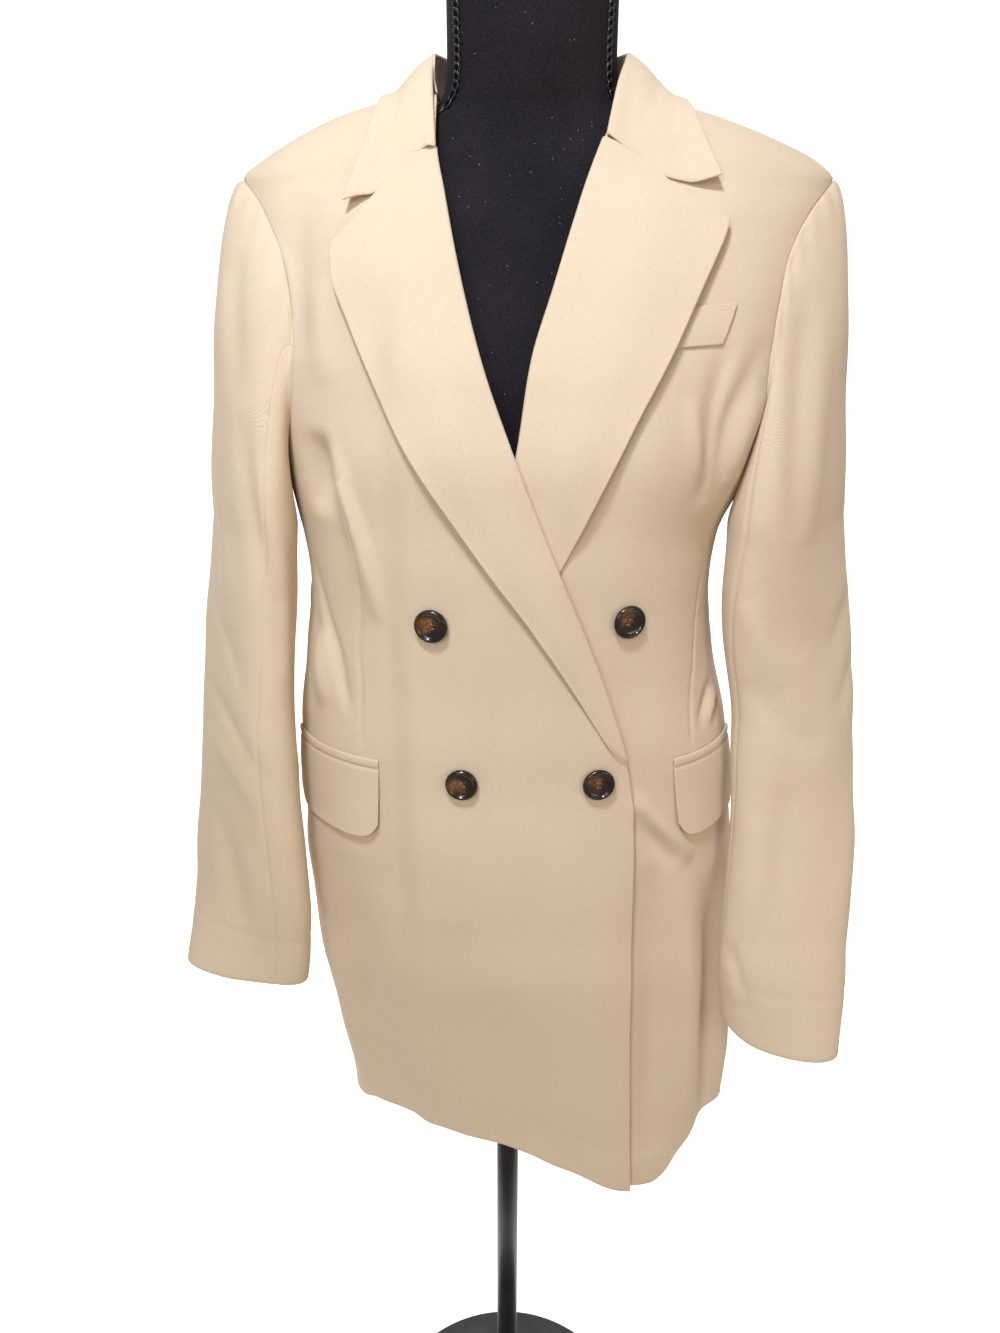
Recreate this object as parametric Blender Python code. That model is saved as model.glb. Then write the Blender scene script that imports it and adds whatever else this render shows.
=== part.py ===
"""A double-breasted blazer resting on a dress form stand.

Metres, +Z up, the front faces -Y, the wearer's right is -X. The floor is z = 0 and the
origin is on the stand's axis.
Every cloth piece is laid out on one body surface, given by an angle round the body
(0 at the front, +90 at the wearer's left side, 180 at the back) and a height, then
moved out by its layer and given its cloth thickness inwards.
"""

import math

import bmesh
import bpy
import numpy as np
from mathutils import Vector

# --- driving sizes -------------------------------------------------------------
CLOTH = 0.0016          # thickness of one cloth layer
SEAM = 0.0004           # gap between neighbouring pieces
MOST_SEAM_DEG = 1.2     # and the most that half of it takes, in degrees
LAYER = 0.0024          # one layer resting on another, outer face to outer face
OVERLAP = 0.0060        # right front above the left front's outer face
OVERLAP_RAMP = (-0.104, -0.080)    # x over which it rises to that
OVERLAP_FADE = (1.26, 1.37)        # height over which it falls again
TIP_Z = 1.398           # shoulder tip
SIDE_SEAM = 78.0        # degrees, front panel to side panel
BACK_SEAM = 106.0       # degrees, side panel to back panel
ARM_MID, ARM_HALF = 1.297, 0.101   # armhole: middle height and half-height
ARM_FRONT, ARM_BACK = 36.0, 34.0   # armhole: reach in degrees to the front and the back
ARM_ROUND = 2.2         # its roundness, 2 for an ellipse
ARM_INSET = 0.965       # sleeve's start, as a share of the armhole
HEM_Z = 0.595           # hem at the sides
SWING_TOP = 0.95        # below this height the skirt swings
SWING = 0.25            # turn of the skirt at its hem, y per x
SWING_EASE = (0.06, 0.03)          # x on the left side where that turn eases off, and how fast
POLE_X = -0.014         # pole's axis in the tables here, where x = 0 is the blazer's middle;
                        # main() moves all so that the frame's own origin is on that axis
BUTTON_R = 0.0122
BUTTON_T = 0.0042

# Body surface: one row for each height.
# height, half-width right, half-width left, depth front, depth back, centre y, roundness
BODY = (
    (0.560, 0.172, 0.188, 0.114, 0.120, 0.000, 2.35),
    (0.660, 0.180, 0.189, 0.118, 0.118, 0.000, 2.35),
    (0.780, 0.189, 0.187, 0.127, 0.115, 0.001, 2.35),
    (0.900, 0.192, 0.181, 0.130, 0.111, 0.002, 2.35),
    (0.990, 0.190, 0.169, 0.129, 0.106, 0.003, 2.35),
    (1.060, 0.181, 0.153, 0.130, 0.101, 0.003, 2.30),
    (1.110, 0.175, 0.146, 0.132, 0.101, 0.003, 2.30),
    (1.150, 0.178, 0.149, 0.135, 0.105, 0.003, 2.30),
    (1.200, 0.187, 0.171, 0.137, 0.112, 0.003, 2.30),
    (1.260, 0.197, 0.194, 0.130, 0.117, 0.004, 2.25),
    (1.320, 0.202, 0.205, 0.112, 0.115, 0.005, 2.20),
    (1.370, 0.205, 0.213, 0.089, 0.103, 0.006, 2.10),
    (1.398, 0.207, 0.218, 0.069, 0.090, 0.006, 2.00),
    (1.411, 0.193, 0.203, 0.063, 0.083, 0.006, 2.00),
    (1.425, 0.167, 0.171, 0.056, 0.074, 0.006, 2.00),
    (1.437, 0.140, 0.136, 0.050, 0.064, 0.006, 2.00),
    (1.4445, 0.114, 0.106, 0.046, 0.056, 0.006, 2.00),
    (1.452, 0.066, 0.068, 0.042, 0.047, 0.006, 2.00),
)

# Front edge, then roll line, then neckline of each front: height, x.
RIGHT_EDGE = (
    (0.560, 0.0935), (0.750, 0.0840), (0.950, 0.0775), (0.985, 0.0725), (1.050, 0.0530),
    (1.140, 0.0178), (1.210, -0.0105), (1.290, -0.0388), (1.380, -0.0595), (1.416, -0.0655),
    (1.452, -0.0650),
)
LEFT_EDGE = (
    (0.560, -0.0750), (0.985, -0.0750), (1.030, -0.0700), (1.120, -0.0440), (1.216, -0.0111),
    (1.280, -0.0004), (1.322, 0.0132), (1.384, 0.0343), (1.422, 0.0497), (1.440, 0.0575),
    (1.452, 0.0650),
)

# Lapels, one row for each section: height on the roll line, then x and height of the edge.
RIGHT_LAPEL = (
    (0.990, 0.0665, 0.9925), (1.008, 0.0480, 1.0240), (1.040, 0.0265, 1.0610),
    (1.080, -0.0010, 1.1050), (1.120, -0.0328, 1.1507), (1.160, -0.0570, 1.1870),
    (1.200, -0.0800, 1.2220), (1.245, -0.1030, 1.2660), (1.285, -0.1180, 1.3000),
    (1.325, -0.1300, 1.3300), (1.346, -0.1321, 1.3470), (1.366, -0.1246, 1.3570),
    (1.382, -0.1161, 1.3660), (1.396, -0.1042, 1.3796), (1.4035, -0.0930, 1.3964),
    (1.4080, -0.0830, 1.4074), (1.4115, -0.0731, 1.4132),
)
LEFT_LAPEL = (
    (1.040, -0.0610, 1.0420), (1.075, -0.0330, 1.0700), (1.110, -0.0080, 1.1020),
    (1.150, 0.0169, 1.1413), (1.185, 0.0417, 1.1938), (1.220, 0.0660, 1.2430),
    (1.250, 0.0891, 1.2851), (1.290, 0.1080, 1.3240), (1.328, 0.1240, 1.3560),
    (1.350, 0.1263, 1.3640), (1.376, 0.1120, 1.3725), (1.393, 0.0985, 1.3815),
    (1.404, 0.0844, 1.3920), (1.411, 0.0707, 1.4040), (1.4165, 0.0574, 1.4143),
)

LAPEL_SECTIONS = 24
LAPEL_CURL = 0.0060     # how far a lapel's outer edge stands off the chest
LAPEL_SWELL = (1.32, 0.10)         # that lift starts past the foot and ends below the notch
PAST_EDGE = (0.004, 0.035)         # distance past the right front's edge where it may lift

# Collar, one row for each section from the centre back to the front end.
# share of the way, crease x, y, z, then edge x, y, z; the x of the right side is negated.
COLLAR_BACK = (
    (0.00, 0.0000, 0.0740, 1.4800, 0.0000, 0.1000, 1.4360),
    (0.20, 0.0330, 0.0660, 1.4810, 0.0470, 0.0900, 1.4370),
    (0.40, 0.0590, 0.0420, 1.4815, 0.0830, 0.0560, 1.4430),
    (0.60, 0.0700, 0.0060, 1.4790, 0.0990, 0.0040, 1.4480),
)
COLLAR_RIGHT = COLLAR_BACK + (
    (0.80, 0.0685, -0.0310, 1.4540, 0.1060, -0.0400, 1.4280),
    (1.00, 0.0655, -0.0575, 1.4155, 0.1248, -0.0720, 1.3785),
)
COLLAR_LEFT = COLLAR_BACK + (
    (0.80, 0.0600, -0.0310, 1.4590, 0.1085, -0.0365, 1.4310),
    (1.00, 0.0497, -0.0560, 1.4225, 0.1226, -0.0660, 1.3940),
)
# The collar's front end: share from crease to edge, height above the straight line between
# them. It follows the gorge seam down to the notch, then turns out to the point.
END_RIGHT = (
    (0.00, 0.0000), (0.13, 0.0050), (0.25, 0.0052), (0.37, 0.0037), (0.51, -0.0003),
    (0.65, -0.0076), (0.82, -0.0036), (1.00, 0.0000),
)
END_LEFT = (
    (0.00, 0.0000), (0.11, -0.0022), (0.20, -0.0050), (0.29, -0.0079), (0.39, -0.0125),
    (0.48, -0.0165), (0.72, -0.0122), (1.00, 0.0000),
)
END_FADE = (0.62, 1.0)  # share of the way along the collar over which that end line grows

# Foot of the collar's stand along the neckline: share of the way, x, height.
NECK_SEAM = (
    (0.00, 0.0000, 1.4385), (0.20, 0.0280, 1.4415), (0.40, 0.0510, 1.4455),
    (0.60, 0.0660, 1.4490), (0.72, 0.0655, 1.4470), (0.80, 0.0640, 1.4370),
)
STAND_END = 0.70        # share of the way where the stand ends
RIDGE, RIDGE_EASE = 0.60, 0.12     # share where it crosses the shoulder, and its ease there
COLLAR_SECTIONS = 35
COLLAR_SWELL = 0.004        # how far the leaf bows up between crease and edge
COLLAR_STAND_OFF = 0.0040   # how far its outer edge stands off the shoulder
COLLAR_MIDDLE = (0.0, 0.0, 1.38)

# Hem: degrees round the body, height above HEM_Z.
HEM = (
    (-180, 0.000), (-110, -0.006), (-80, -0.024), (-62, -0.010), (-48, 0.010), (-23, 0.0245),
    (-5, 0.0260), (8, 0.0100), (24, -0.0120), (33, -0.0150), (37, -0.0100), (45, 0.0160),
    (53, 0.0300), (65, 0.0360), (85, 0.0260), (110, 0.006), (180, 0.000),
)

# Sleeves, one row for each height: centre outwards, centre y, half-width of the flattened
# tube, half-thickness, and the turn of its front fold from straight ahead to inwards.
RIGHT_SLEEVE = (
    (1.160, 0.2140, -0.022, 0.080, 0.0280, 24), (1.080, 0.2230, -0.027, 0.077, 0.0290, 29),
    (1.000, 0.2310, -0.034, 0.075, 0.0290, 33), (0.920, 0.2340, -0.046, 0.071, 0.0270, 42),
    (0.850, 0.2350, -0.058, 0.065, 0.0250, 54), (0.810, 0.2385, -0.065, 0.059, 0.0230, 66),
    (0.777, 0.2430, -0.070, 0.056, 0.0220, 76),
)
LEFT_SLEEVE = (
    (1.160, 0.2020, -0.024, 0.081, 0.0345, 35), (1.080, 0.2075, -0.034, 0.071, 0.0325, 50),
    (1.000, 0.2165, -0.048, 0.058, 0.0300, 62), (0.920, 0.2165, -0.070, 0.0535, 0.0270, 74),
    (0.860, 0.2125, -0.092, 0.0505, 0.0260, 86), (0.800, 0.2090, -0.112, 0.0500, 0.0250, 100),
    (0.747, 0.2080, -0.125, 0.0485, 0.0240, 116),
)
# Front seam of the sleeve, in degrees round the tube, at the armhole and at the cuff.
RIGHT_SLEEVE_SEAM = (95.0, 38.0)
LEFT_SLEEVE_SEAM = (95.0, 88.0)
UNDER_SLEEVE = 150.0    # degrees of the tube that the under sleeve takes
CAP_SHARE = 0.34        # share of the sleeve's rows above the upper arm
CAP_OUT, CAP_DOWN = 0.020, 0.100   # how far the sleeve head swells out and hangs straight
UNDERARM_OUT, UNDERARM_DOWN = 0.004, 0.010     # the same under the arm
SLEEVE_SEAM_DEG = 0.16  # half the seam gap of a sleeve, in degrees round it
STEP = 0.004            # share of the sleeve's length between which a normal is measured
CUFF_DIP = {-1: 0.007, 1: -0.012}      # how far a cuff hangs lower at its front fold, by side

# Dress form, one row for each height: half-width, depth front, depth back, centre y.
FORM = (
    (0.780, 0.140, 0.085, 0.080, 0.002), (0.800, 0.150, 0.092, 0.086, 0.002),
    (0.880, 0.152, 0.096, 0.090, 0.002), (0.960, 0.142, 0.094, 0.084, 0.003),
    (1.050, 0.122, 0.092, 0.078, 0.003), (1.120, 0.122, 0.104, 0.080, 0.003),
    (1.190, 0.142, 0.117, 0.092, 0.003), (1.250, 0.158, 0.112, 0.098, 0.004),
    (1.310, 0.168, 0.094, 0.096, 0.005), (1.355, 0.178, 0.076, 0.088, 0.006),
    (1.385, 0.180, 0.062, 0.076, 0.006), (1.404, 0.168, 0.054, 0.068, 0.006),
    (1.418, 0.138, 0.049, 0.062, 0.006), (1.430, 0.100, 0.045, 0.056, 0.004),
    (1.440, 0.070, 0.043, 0.052, 0.002), (1.456, 0.0600, 0.044, 0.049, 0.000),
    (1.480, 0.0585, 0.046, 0.047, 0.000), (1.512, 0.0585, 0.046, 0.047, 0.000),
)
FORM_SIDES, FORM_SQUARE = 28, 0.92     # exponent of its rings, 1 for an ellipse
POLE_R = 0.011
BASE_R, BASE_H = 0.165, 0.014
HUB_R, HUB_H = 0.026, 0.060
CLAMP_R, CLAMP_H = 0.021, 0.030
BEVEL = 0.002           # edges of the base and the clamp


# --- curves --------------------------------------------------------------------
def through(rows, at):
    """Every column of a table at the heights or shares in at, on a smooth curve that
    never overshoots its rows (monotone cubic)."""
    table = np.array(rows, float)
    x, y = table[:, 0], table[:, 1:]
    if x[0] > x[-1]:
        x, y = x[::-1], y[::-1]
    step = np.diff(x)[:, None]
    rise = np.diff(y, axis=0) / step
    slope = np.zeros_like(y)
    same_way = rise[:-1] * rise[1:] > 0
    before, after = 2 * step[1:] + step[:-1], step[1:] + 2 * step[:-1]
    with np.errstate(divide="ignore", invalid="ignore"):
        mean = (before + after) / (before / rise[:-1] + after / rise[1:])
    slope[1:-1] = np.where(same_way, mean, 0.0)
    slope[0], slope[-1] = rise[0], rise[-1]
    at = np.clip(np.asarray(at, float), x[0], x[-1])
    k = np.clip(np.searchsorted(x, at, side="right") - 1, 0, len(x) - 2)
    h = step[k][..., 0]
    t = (at - x[k]) / h
    t, h = t[..., None], h[..., None]
    return (
        (2 * t**3 - 3 * t**2 + 1) * y[k]
        + (t**3 - 2 * t**2 + t) * h * slope[k]
        + (3 * t**2 - 2 * t**3) * y[k + 1]
        + (t**3 - t**2) * h * slope[k + 1]
    )


def smooth(low, high, x):
    """0 below low, 1 above high, and a soft step between."""
    t = np.clip((np.asarray(x, float) - low) / (high - low), 0, 1)
    return t * t * (3 - 2 * t)


NORMAL_STEP = (0.4, 0.0015)     # degrees and height between which a normal is measured


def power(value, exponent):
    return np.sign(value) * np.abs(value) ** exponent


# --- the body surface ------------------------------------------------------------
def body(angle, z):
    """Point of the body surface at an angle in degrees and a height."""
    angle, z = np.broadcast_arrays(np.asarray(angle, float), np.asarray(z, float))
    right, left, front, back, mid, round_ = np.moveaxis(through(BODY, z), -1, 0)
    across, ahead = np.sin(np.radians(angle)), np.cos(np.radians(angle))
    x = np.where(across < 0, right, left) * power(across, 2 / round_)
    y = mid - np.where(ahead > 0, front, back) * power(ahead, 2 / round_)
    past = np.maximum(x - SWING_EASE[0], 0)
    arm = np.minimum(x, SWING_EASE[0]) + SWING_EASE[1] * np.tanh(past / SWING_EASE[1])
    y = y - SWING * (1 - smooth(BODY[0][0], SWING_TOP, z)) * arm
    return np.stack([x, y, z], -1)


def outward(place, u, v, du, dv):
    """Unit normals of the surface place(u, v), by small steps."""
    along = place(u + du, v) - place(u - du, v)
    up = place(u, v + dv) - place(u, v - dv)
    normal = np.cross(along, up)
    return normal / np.linalg.norm(normal, axis=-1, keepdims=True)


def on_body(angle, z, lift):
    """Point at a distance out from the body surface."""
    angle, z = np.broadcast_arrays(np.asarray(angle, float), np.asarray(z, float))
    normal = outward(body, angle, z, *NORMAL_STEP)
    return body(angle, z) + normal * np.asarray(lift, float)[..., None]


def angle_at(x, z):
    """Angle on the front of the body surface that lies at x."""
    right, left, _, _, _, round_ = np.moveaxis(through(BODY, z), -1, 0)
    share = np.clip(np.abs(x) / np.where(x < 0, right, left), 0, 1)
    return np.degrees(np.arcsin(share ** (round_ / 2))) * np.sign(x)


def arm_reach(z, reach):
    """Degrees from the side to the armhole's edge at a height."""
    share = np.clip(np.abs(z - ARM_MID) / ARM_HALF, 0, 1)
    return reach * (1 - share**ARM_ROUND) ** (1 / ARM_ROUND)


def front_limit(z):
    """Outer angle of a front panel: side seam, then armhole, then shoulder seam."""
    arm = np.where(z > TIP_Z, 0.0, arm_reach(z, ARM_FRONT))
    at = np.where(z < ARM_MID, np.maximum(arm, 90 - SIDE_SEAM), arm)
    return 90 - at


def back_limit(z):
    arm = np.where(z > TIP_Z, 0.0, arm_reach(z, ARM_BACK))
    at = np.where(z < ARM_MID, np.maximum(arm, BACK_SEAM - 90), arm)
    return 90 + at


def seam_step(angle, z):
    """Half the seam gap, in degrees, at a place on the body surface."""
    per_degree = np.linalg.norm(body(angle + 0.5, z) - body(angle - 0.5, z), axis=-1)
    return np.minimum(SEAM / 2 / np.maximum(per_degree, 1e-4), MOST_SEAM_DEG)


def overlap_lift(x, z):
    """The right front lies over the left front and its lapel, up to where the two part."""
    return OVERLAP * smooth(*OVERLAP_RAMP, x) * (1 - smooth(*OVERLAP_FADE, z))


def no_lift(x, z):
    return np.zeros_like(x + z)


# --- solids ----------------------------------------------------------------------
def material(name, colour, roughness, metallic=0.0):
    made = bpy.data.materials.new(name)
    made.use_nodes = True
    shader = made.node_tree.nodes["Principled BSDF"]
    shader.inputs["Base Color"].default_value = (*colour, 1)
    shader.inputs["Roughness"].default_value = roughness
    shader.inputs["Metallic"].default_value = metallic
    return made


def solid(name, points, faces, finish):
    """An object from points and faces, with its faces turned to point out."""
    mesh = bpy.data.meshes.new(name)
    mesh.from_pydata([tuple(map(float, p)) for p in points], [], faces)
    work = bmesh.new()
    work.from_mesh(mesh)
    bmesh.ops.triangulate(work, faces=work.faces)
    if work.calc_volume(signed=True) < 0:
        bmesh.ops.reverse_faces(work, faces=work.faces)
    work.to_mesh(mesh)
    work.free()
    mesh.shade_smooth()
    mesh.set_sharp_from_angle(angle=math.radians(40))
    mesh.materials.append(finish)
    made = bpy.data.objects.new(name, mesh)
    bpy.context.scene.collection.objects.link(made)
    return made


def shell(name, outer, inner, finish):
    """A cloth wall between two grids of rows and columns of points."""
    rows, cols = outer.shape[:2]
    count = rows * cols
    number = np.arange(count).reshape(rows, cols)
    faces = []
    for r in range(rows - 1):
        for c in range(cols - 1):
            quad = (number[r, c], number[r, c + 1], number[r + 1, c + 1], number[r + 1, c])
            faces.append(tuple(int(i) for i in quad))
            faces.append(tuple(int(i) + count for i in reversed(quad)))
    rim = [*number[0], *number[1:, -1], *number[-1, -2::-1], *number[-2:0:-1, 0]]
    for a, b in zip(rim, rim[1:] + rim[:1]):
        faces.append((int(b), int(a), int(a) + count, int(b) + count))
    points = np.concatenate([outer.reshape(-1, 3), inner.reshape(-1, 3)])
    return solid(name, points, faces, finish)


def laid(name, angle, z, lift, finish, thick=CLOTH):
    """A cloth piece on the body surface, from grids of angle, height and lift."""
    return shell(name, on_body(angle, z, lift), on_body(angle, z, lift - thick), finish)


def lathe(name, rings, finish, sides):
    """A turned solid on the pole's axis, from rows of radius and height."""
    turn = np.arange(sides) * 2 * math.pi / sides
    points = []
    for radius, z in rings:
        across, ahead = POLE_X + radius * np.cos(turn), radius * np.sin(turn)
        points += list(np.stack([across, ahead, np.full(sides, z)], -1))
    return tube(name, points, len(rings), sides, finish)


def tube(name, points, rings, sides, finish):
    """A solid through rings of points, closed at both ends."""
    faces = []
    for r in range(rings - 1):
        for c in range(sides):
            a, b = r * sides + c, r * sides + (c + 1) % sides
            faces.append((a, b, b + sides, a + sides))
    faces.append(tuple(reversed(range(sides))))
    faces.append(tuple(range((rings - 1) * sides, rings * sides)))
    return solid(name, points, faces, finish)


# --- body panels -----------------------------------------------------------------
LOWER_ROWS = np.linspace(HEM_Z, 1.19, 11)     # heights that all panels share
ARM_ROW_START = 0.30    # radians round the armhole where the panels' next row lies
PANEL_TOP = 1.4475
# Neckline of the backs: height, x.
BACK_NECK = (
    (0.560, 0.0), (1.4375, 0.0), (1.4405, 0.024), (1.4440, 0.044), (1.4520, 0.066),
)


def hemmed(angle, z):
    """Heights with the hem's own line blended in below the skirt's swing."""
    fade = 1 - smooth(HEM_Z, SWING_TOP, z)
    return z + through(HEM, angle)[..., 0] * fade


def heights_through(count, top):
    """Panel heights: the shared ones, close rows along the armhole, then the shoulder."""
    turn = np.linspace(ARM_ROW_START, math.pi, count - len(LOWER_ROWS) - 3)
    shoulder = np.linspace(TIP_Z, top, 4)[1:]
    return np.concatenate([LOWER_ROWS, ARM_MID - ARM_HALF * np.cos(turn), shoulder])


def front_panel(name, side, edge, lift_of, cloth):
    """A front from its edge to the side seam, armhole and shoulder seam."""
    z = heights_through(22, PANEL_TOP)
    inner = angle_at(through(edge, z)[:, 0], z)
    limit = front_limit(z)
    limit = side * (limit - seam_step(limit, z))
    share = np.linspace(0, 1, 13)
    angle = inner[:, None] + (limit - inner)[:, None] * share
    heights = hemmed(angle, np.repeat(z[:, None], len(share), 1))
    lift = lift_of(body(angle, heights)[..., 0], heights)
    return laid(name, angle, heights, lift, cloth)


def back_panel(name, side, cloth):
    """A back from the centre seam to the side seam, armhole and shoulder seam."""
    z = heights_through(20, PANEL_TOP)
    half = through(BODY, z)[:, 0 if side < 0 else 1]
    from_back = np.degrees(np.arcsin(np.clip(through(BACK_NECK, z)[:, 0] / half, 0, 1)))
    centre = 180 - np.maximum(from_back, seam_step(np.full_like(z, 179.0), z))
    limit = back_limit(z)
    limit = limit + seam_step(limit, z)
    share = np.linspace(0, 1, 11)
    angle = side * (centre[:, None] + (limit - centre)[:, None] * share)
    heights = hemmed(angle, np.repeat(z[:, None], len(share), 1))
    return laid(name, angle, heights, np.zeros_like(angle), cloth)


def side_panel(name, side, cloth):
    """The narrow panel under the arm, between the front and the back."""
    low, high = SIDE_SEAM, BACK_SEAM
    edge = seam_step(np.array([low, high]), np.array([1.1, 1.1])) * 1.25
    angle = np.linspace(low + edge[0], high - edge[1], 6)
    reach = np.where(angle < 90, ARM_FRONT, ARM_BACK)
    share = np.abs(angle - 90) / reach
    top = ARM_MID - ARM_HALF * (1 - share**ARM_ROUND) ** (1 / ARM_ROUND)
    z = np.concatenate([np.repeat(LOWER_ROWS[:, None], len(angle), 1), top[None, :]])
    angle = side * np.repeat(angle[None, :], len(z), 0)
    return laid(name, angle, hemmed(angle, z), np.zeros_like(angle), cloth)


# --- lapels and collar -------------------------------------------------------------
def lapel(name, rows, edge, base_of, free, cloth):
    """A lapel folded back over its front, from the roll line to its outer edge, which
    stands off the chest where the lapel is free."""
    sections = [(k, *row) for k, row in enumerate(rows)]
    roll_z, out_x, out_z = through(sections, np.linspace(0, len(rows) - 1, LAPEL_SECTIONS)).T
    roll_x = through(edge, roll_z)[:, 0]
    share = np.linspace(0, 1, 7)
    x = roll_x[:, None] + (out_x - roll_x)[:, None] * share
    z = roll_z[:, None] + (out_z - roll_z)[:, None] * share
    along = np.linspace(0, 1, len(roll_z))[:, None]
    swell = np.sin(np.pi * np.clip(along * LAPEL_SWELL[0] - LAPEL_SWELL[1], 0, 1))
    curl = LAPEL_CURL * swell**0.8 * share**2
    lift = base_of(x, z) + LAYER + curl * free(x, z)
    return laid(name, angle_at(x, z), z, lift, cloth)


def all_free(x, z):
    return np.ones_like(x)


def past_right_front(x, z):
    """0 where the right front covers the left lapel, 1 where that lapel is free to lift."""
    roll = through(RIGHT_EDGE, z)[..., 0]
    return smooth(*PAST_EDGE, x - roll)


def body_samples():
    """Points and normals of the body surface round the shoulders."""
    angle, z = np.meshgrid(np.linspace(-180, 180, 181), np.linspace(1.30, BODY[-1][0], 60))
    return body(angle, z).reshape(-1, 3), outward(body, angle, z, *NORMAL_STEP).reshape(-1, 3)


def rest_on_body(points, clearance):
    """Moves points out until each lies at least its clearance above the body surface."""
    near, normals = body_samples()
    flat = points.reshape(-1, 3).copy()
    wanted = np.broadcast_to(clearance, points.shape[:-1]).reshape(-1)
    for i, p in enumerate(flat):
        k = int(np.argmin(((near - p) ** 2).sum(1)))
        height = float((p - near[k]) @ normals[k])
        flat[i] = p + normals[k] * max(0.0, wanted[i] - height)
    return flat.reshape(points.shape)


def collar_line(columns):
    """Crease or edge of the collar from the right front end round the back to the left."""
    share = np.linspace(-1, 1, COLLAR_SECTIONS)
    right = through(COLLAR_RIGHT, np.abs(share))[:, columns] * (-1, 1, 1)
    left = through(COLLAR_LEFT, np.abs(share))[:, columns]
    return np.where(share[:, None] < 0, right, left)


def collar_leaf(cloth):
    """The part of the collar that folds down over the shoulders."""
    crease, edge = collar_line(slice(0, 3)), collar_line(slice(3, 6))
    along = np.linspace(-1, 1, COLLAR_SECTIONS)[None, :]
    right, left = np.array(END_RIGHT), np.array(END_LEFT)
    down = np.where(along < 0, right[:, :1], left[:, :1])
    end_line = np.where(along < 0, right[:, 1:], left[:, 1:]) * smooth(*END_FADE, np.abs(along))
    points = crease + (edge - crease) * down[..., None]
    rise = COLLAR_SWELL * np.sin(np.pi * down) * (1 - smooth(*END_FADE, np.abs(along)))
    points[..., 2] += end_line + rise
    outer = rest_on_body(points, LAYER + COLLAR_STAND_OFF * smooth(0.5, 1.0, down))
    normal = np.cross(np.gradient(outer, axis=1), np.gradient(outer, axis=0))
    normal /= np.linalg.norm(normal, axis=-1, keepdims=True)
    normal *= np.sign((normal * (outer - COLLAR_MIDDLE)).sum(-1, keepdims=True))
    return shell("collar_leaf", outer, outer - normal * CLOTH, cloth)


def collar_stand(cloth):
    """The band that rises from the neckline to the collar's crease, inside the leaf."""
    share = np.linspace(-STAND_END, STAND_END, 23)
    sections = np.linspace(-1, 1, COLLAR_SECTIONS)
    crease = np.stack([np.interp(share, sections, c) for c in collar_line(slice(0, 3)).T], -1)
    foot = through(NECK_SEAM, np.abs(share))
    x = foot[:, 0] * np.sign(share)
    right, left, front, back, mid, _ = through(BODY, foot[:, 1]).T
    width = np.where(x < 0, right, left)
    depth = np.where(np.abs(share) < RIDGE, back, -front)
    round_the_ridge = np.clip(np.abs(np.abs(share) - RIDGE) / RIDGE_EASE, 0, 1)
    y = mid + depth * np.sqrt(np.clip(1 - (x / width) ** 2, 0, 1)) * round_the_ridge
    low = np.stack([x, y, foot[:, 1] + SEAM * 3], -1)
    inward = -crease * (1, 1, 0)
    inward /= np.linalg.norm(inward, axis=-1, keepdims=True)
    high = crease + inward * (CLOTH + SEAM) - (0, 0, CLOTH)
    outer = low + (high - low) * np.linspace(0, 1, 4)[:, None, None]
    return shell("collar_stand", outer, outer + inward * CLOTH, cloth)


# --- sleeves -----------------------------------------------------------------------
def sleeve_ring(table, side, turn, z):
    """A flattened ring of the sleeve at a height; turn is 0 outside and 90 at the front fold."""
    out, mid, half, thick, heading = np.moveaxis(through(table, z), -1, 0)
    head = np.radians(heading)
    along = half * power(np.sin(np.radians(turn)), 0.92)
    face = thick * power(np.cos(np.radians(turn)), 0.92)
    reach = out - along * np.sin(head) + face * np.cos(head)
    y = mid - along * np.cos(head) - face * np.sin(head)
    return np.stack([side * reach, y, np.broadcast_to(z, reach.shape)], -1)


def armhole(side, turn):
    """The armhole's edge, a little inside the opening of the panels."""
    up, ahead = np.cos(np.radians(turn)), np.sin(np.radians(turn))
    z = ARM_MID + ARM_INSET * ARM_HALF * power(up, 2 / ARM_ROUND)
    reach = np.where(ahead > 0, ARM_FRONT, ARM_BACK) * ARM_INSET
    return body(side * (90 - reach * power(ahead, 2 / ARM_ROUND)), z)


def sleeve_point(table, side, turn, share):
    """Sleeve surface from the armhole (share 0) over the head to the cuff (share 1)."""
    top, cuff = table[0][0], table[-1][0]
    turn, share = np.broadcast_arrays(np.asarray(turn, float), np.asarray(share, float))
    t = np.clip(share / CAP_SHARE, 0, 1)[..., None]
    start, end = armhole(side, turn), sleeve_ring(table, side, turn, np.full_like(share, top))
    high = (0.5 + 0.5 * np.cos(np.radians(turn)))[..., None]
    out = np.array([side, 0, 0]) * (UNDERARM_OUT + (CAP_OUT - UNDERARM_OUT) * high)
    down = np.array([0, 0, 1]) * (UNDERARM_DOWN + (CAP_DOWN - UNDERARM_DOWN) * high)
    head = (
        (1 - t) ** 3 * start
        + 3 * t * (1 - t) ** 2 * (start + out)
        + 3 * t**2 * (1 - t) * (end + down)
        + t**3 * end
    )
    below = np.clip((share - CAP_SHARE) / (1 - CAP_SHARE), 0, 1)
    arm = sleeve_ring(table, side, turn, top + (cuff - top) * below)
    arm[..., 2] -= CUFF_DIP[side] * below**3 * np.maximum(np.sin(np.radians(turn)), 0) ** 2
    return np.where((share <= CAP_SHARE)[..., None], head, arm)


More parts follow.
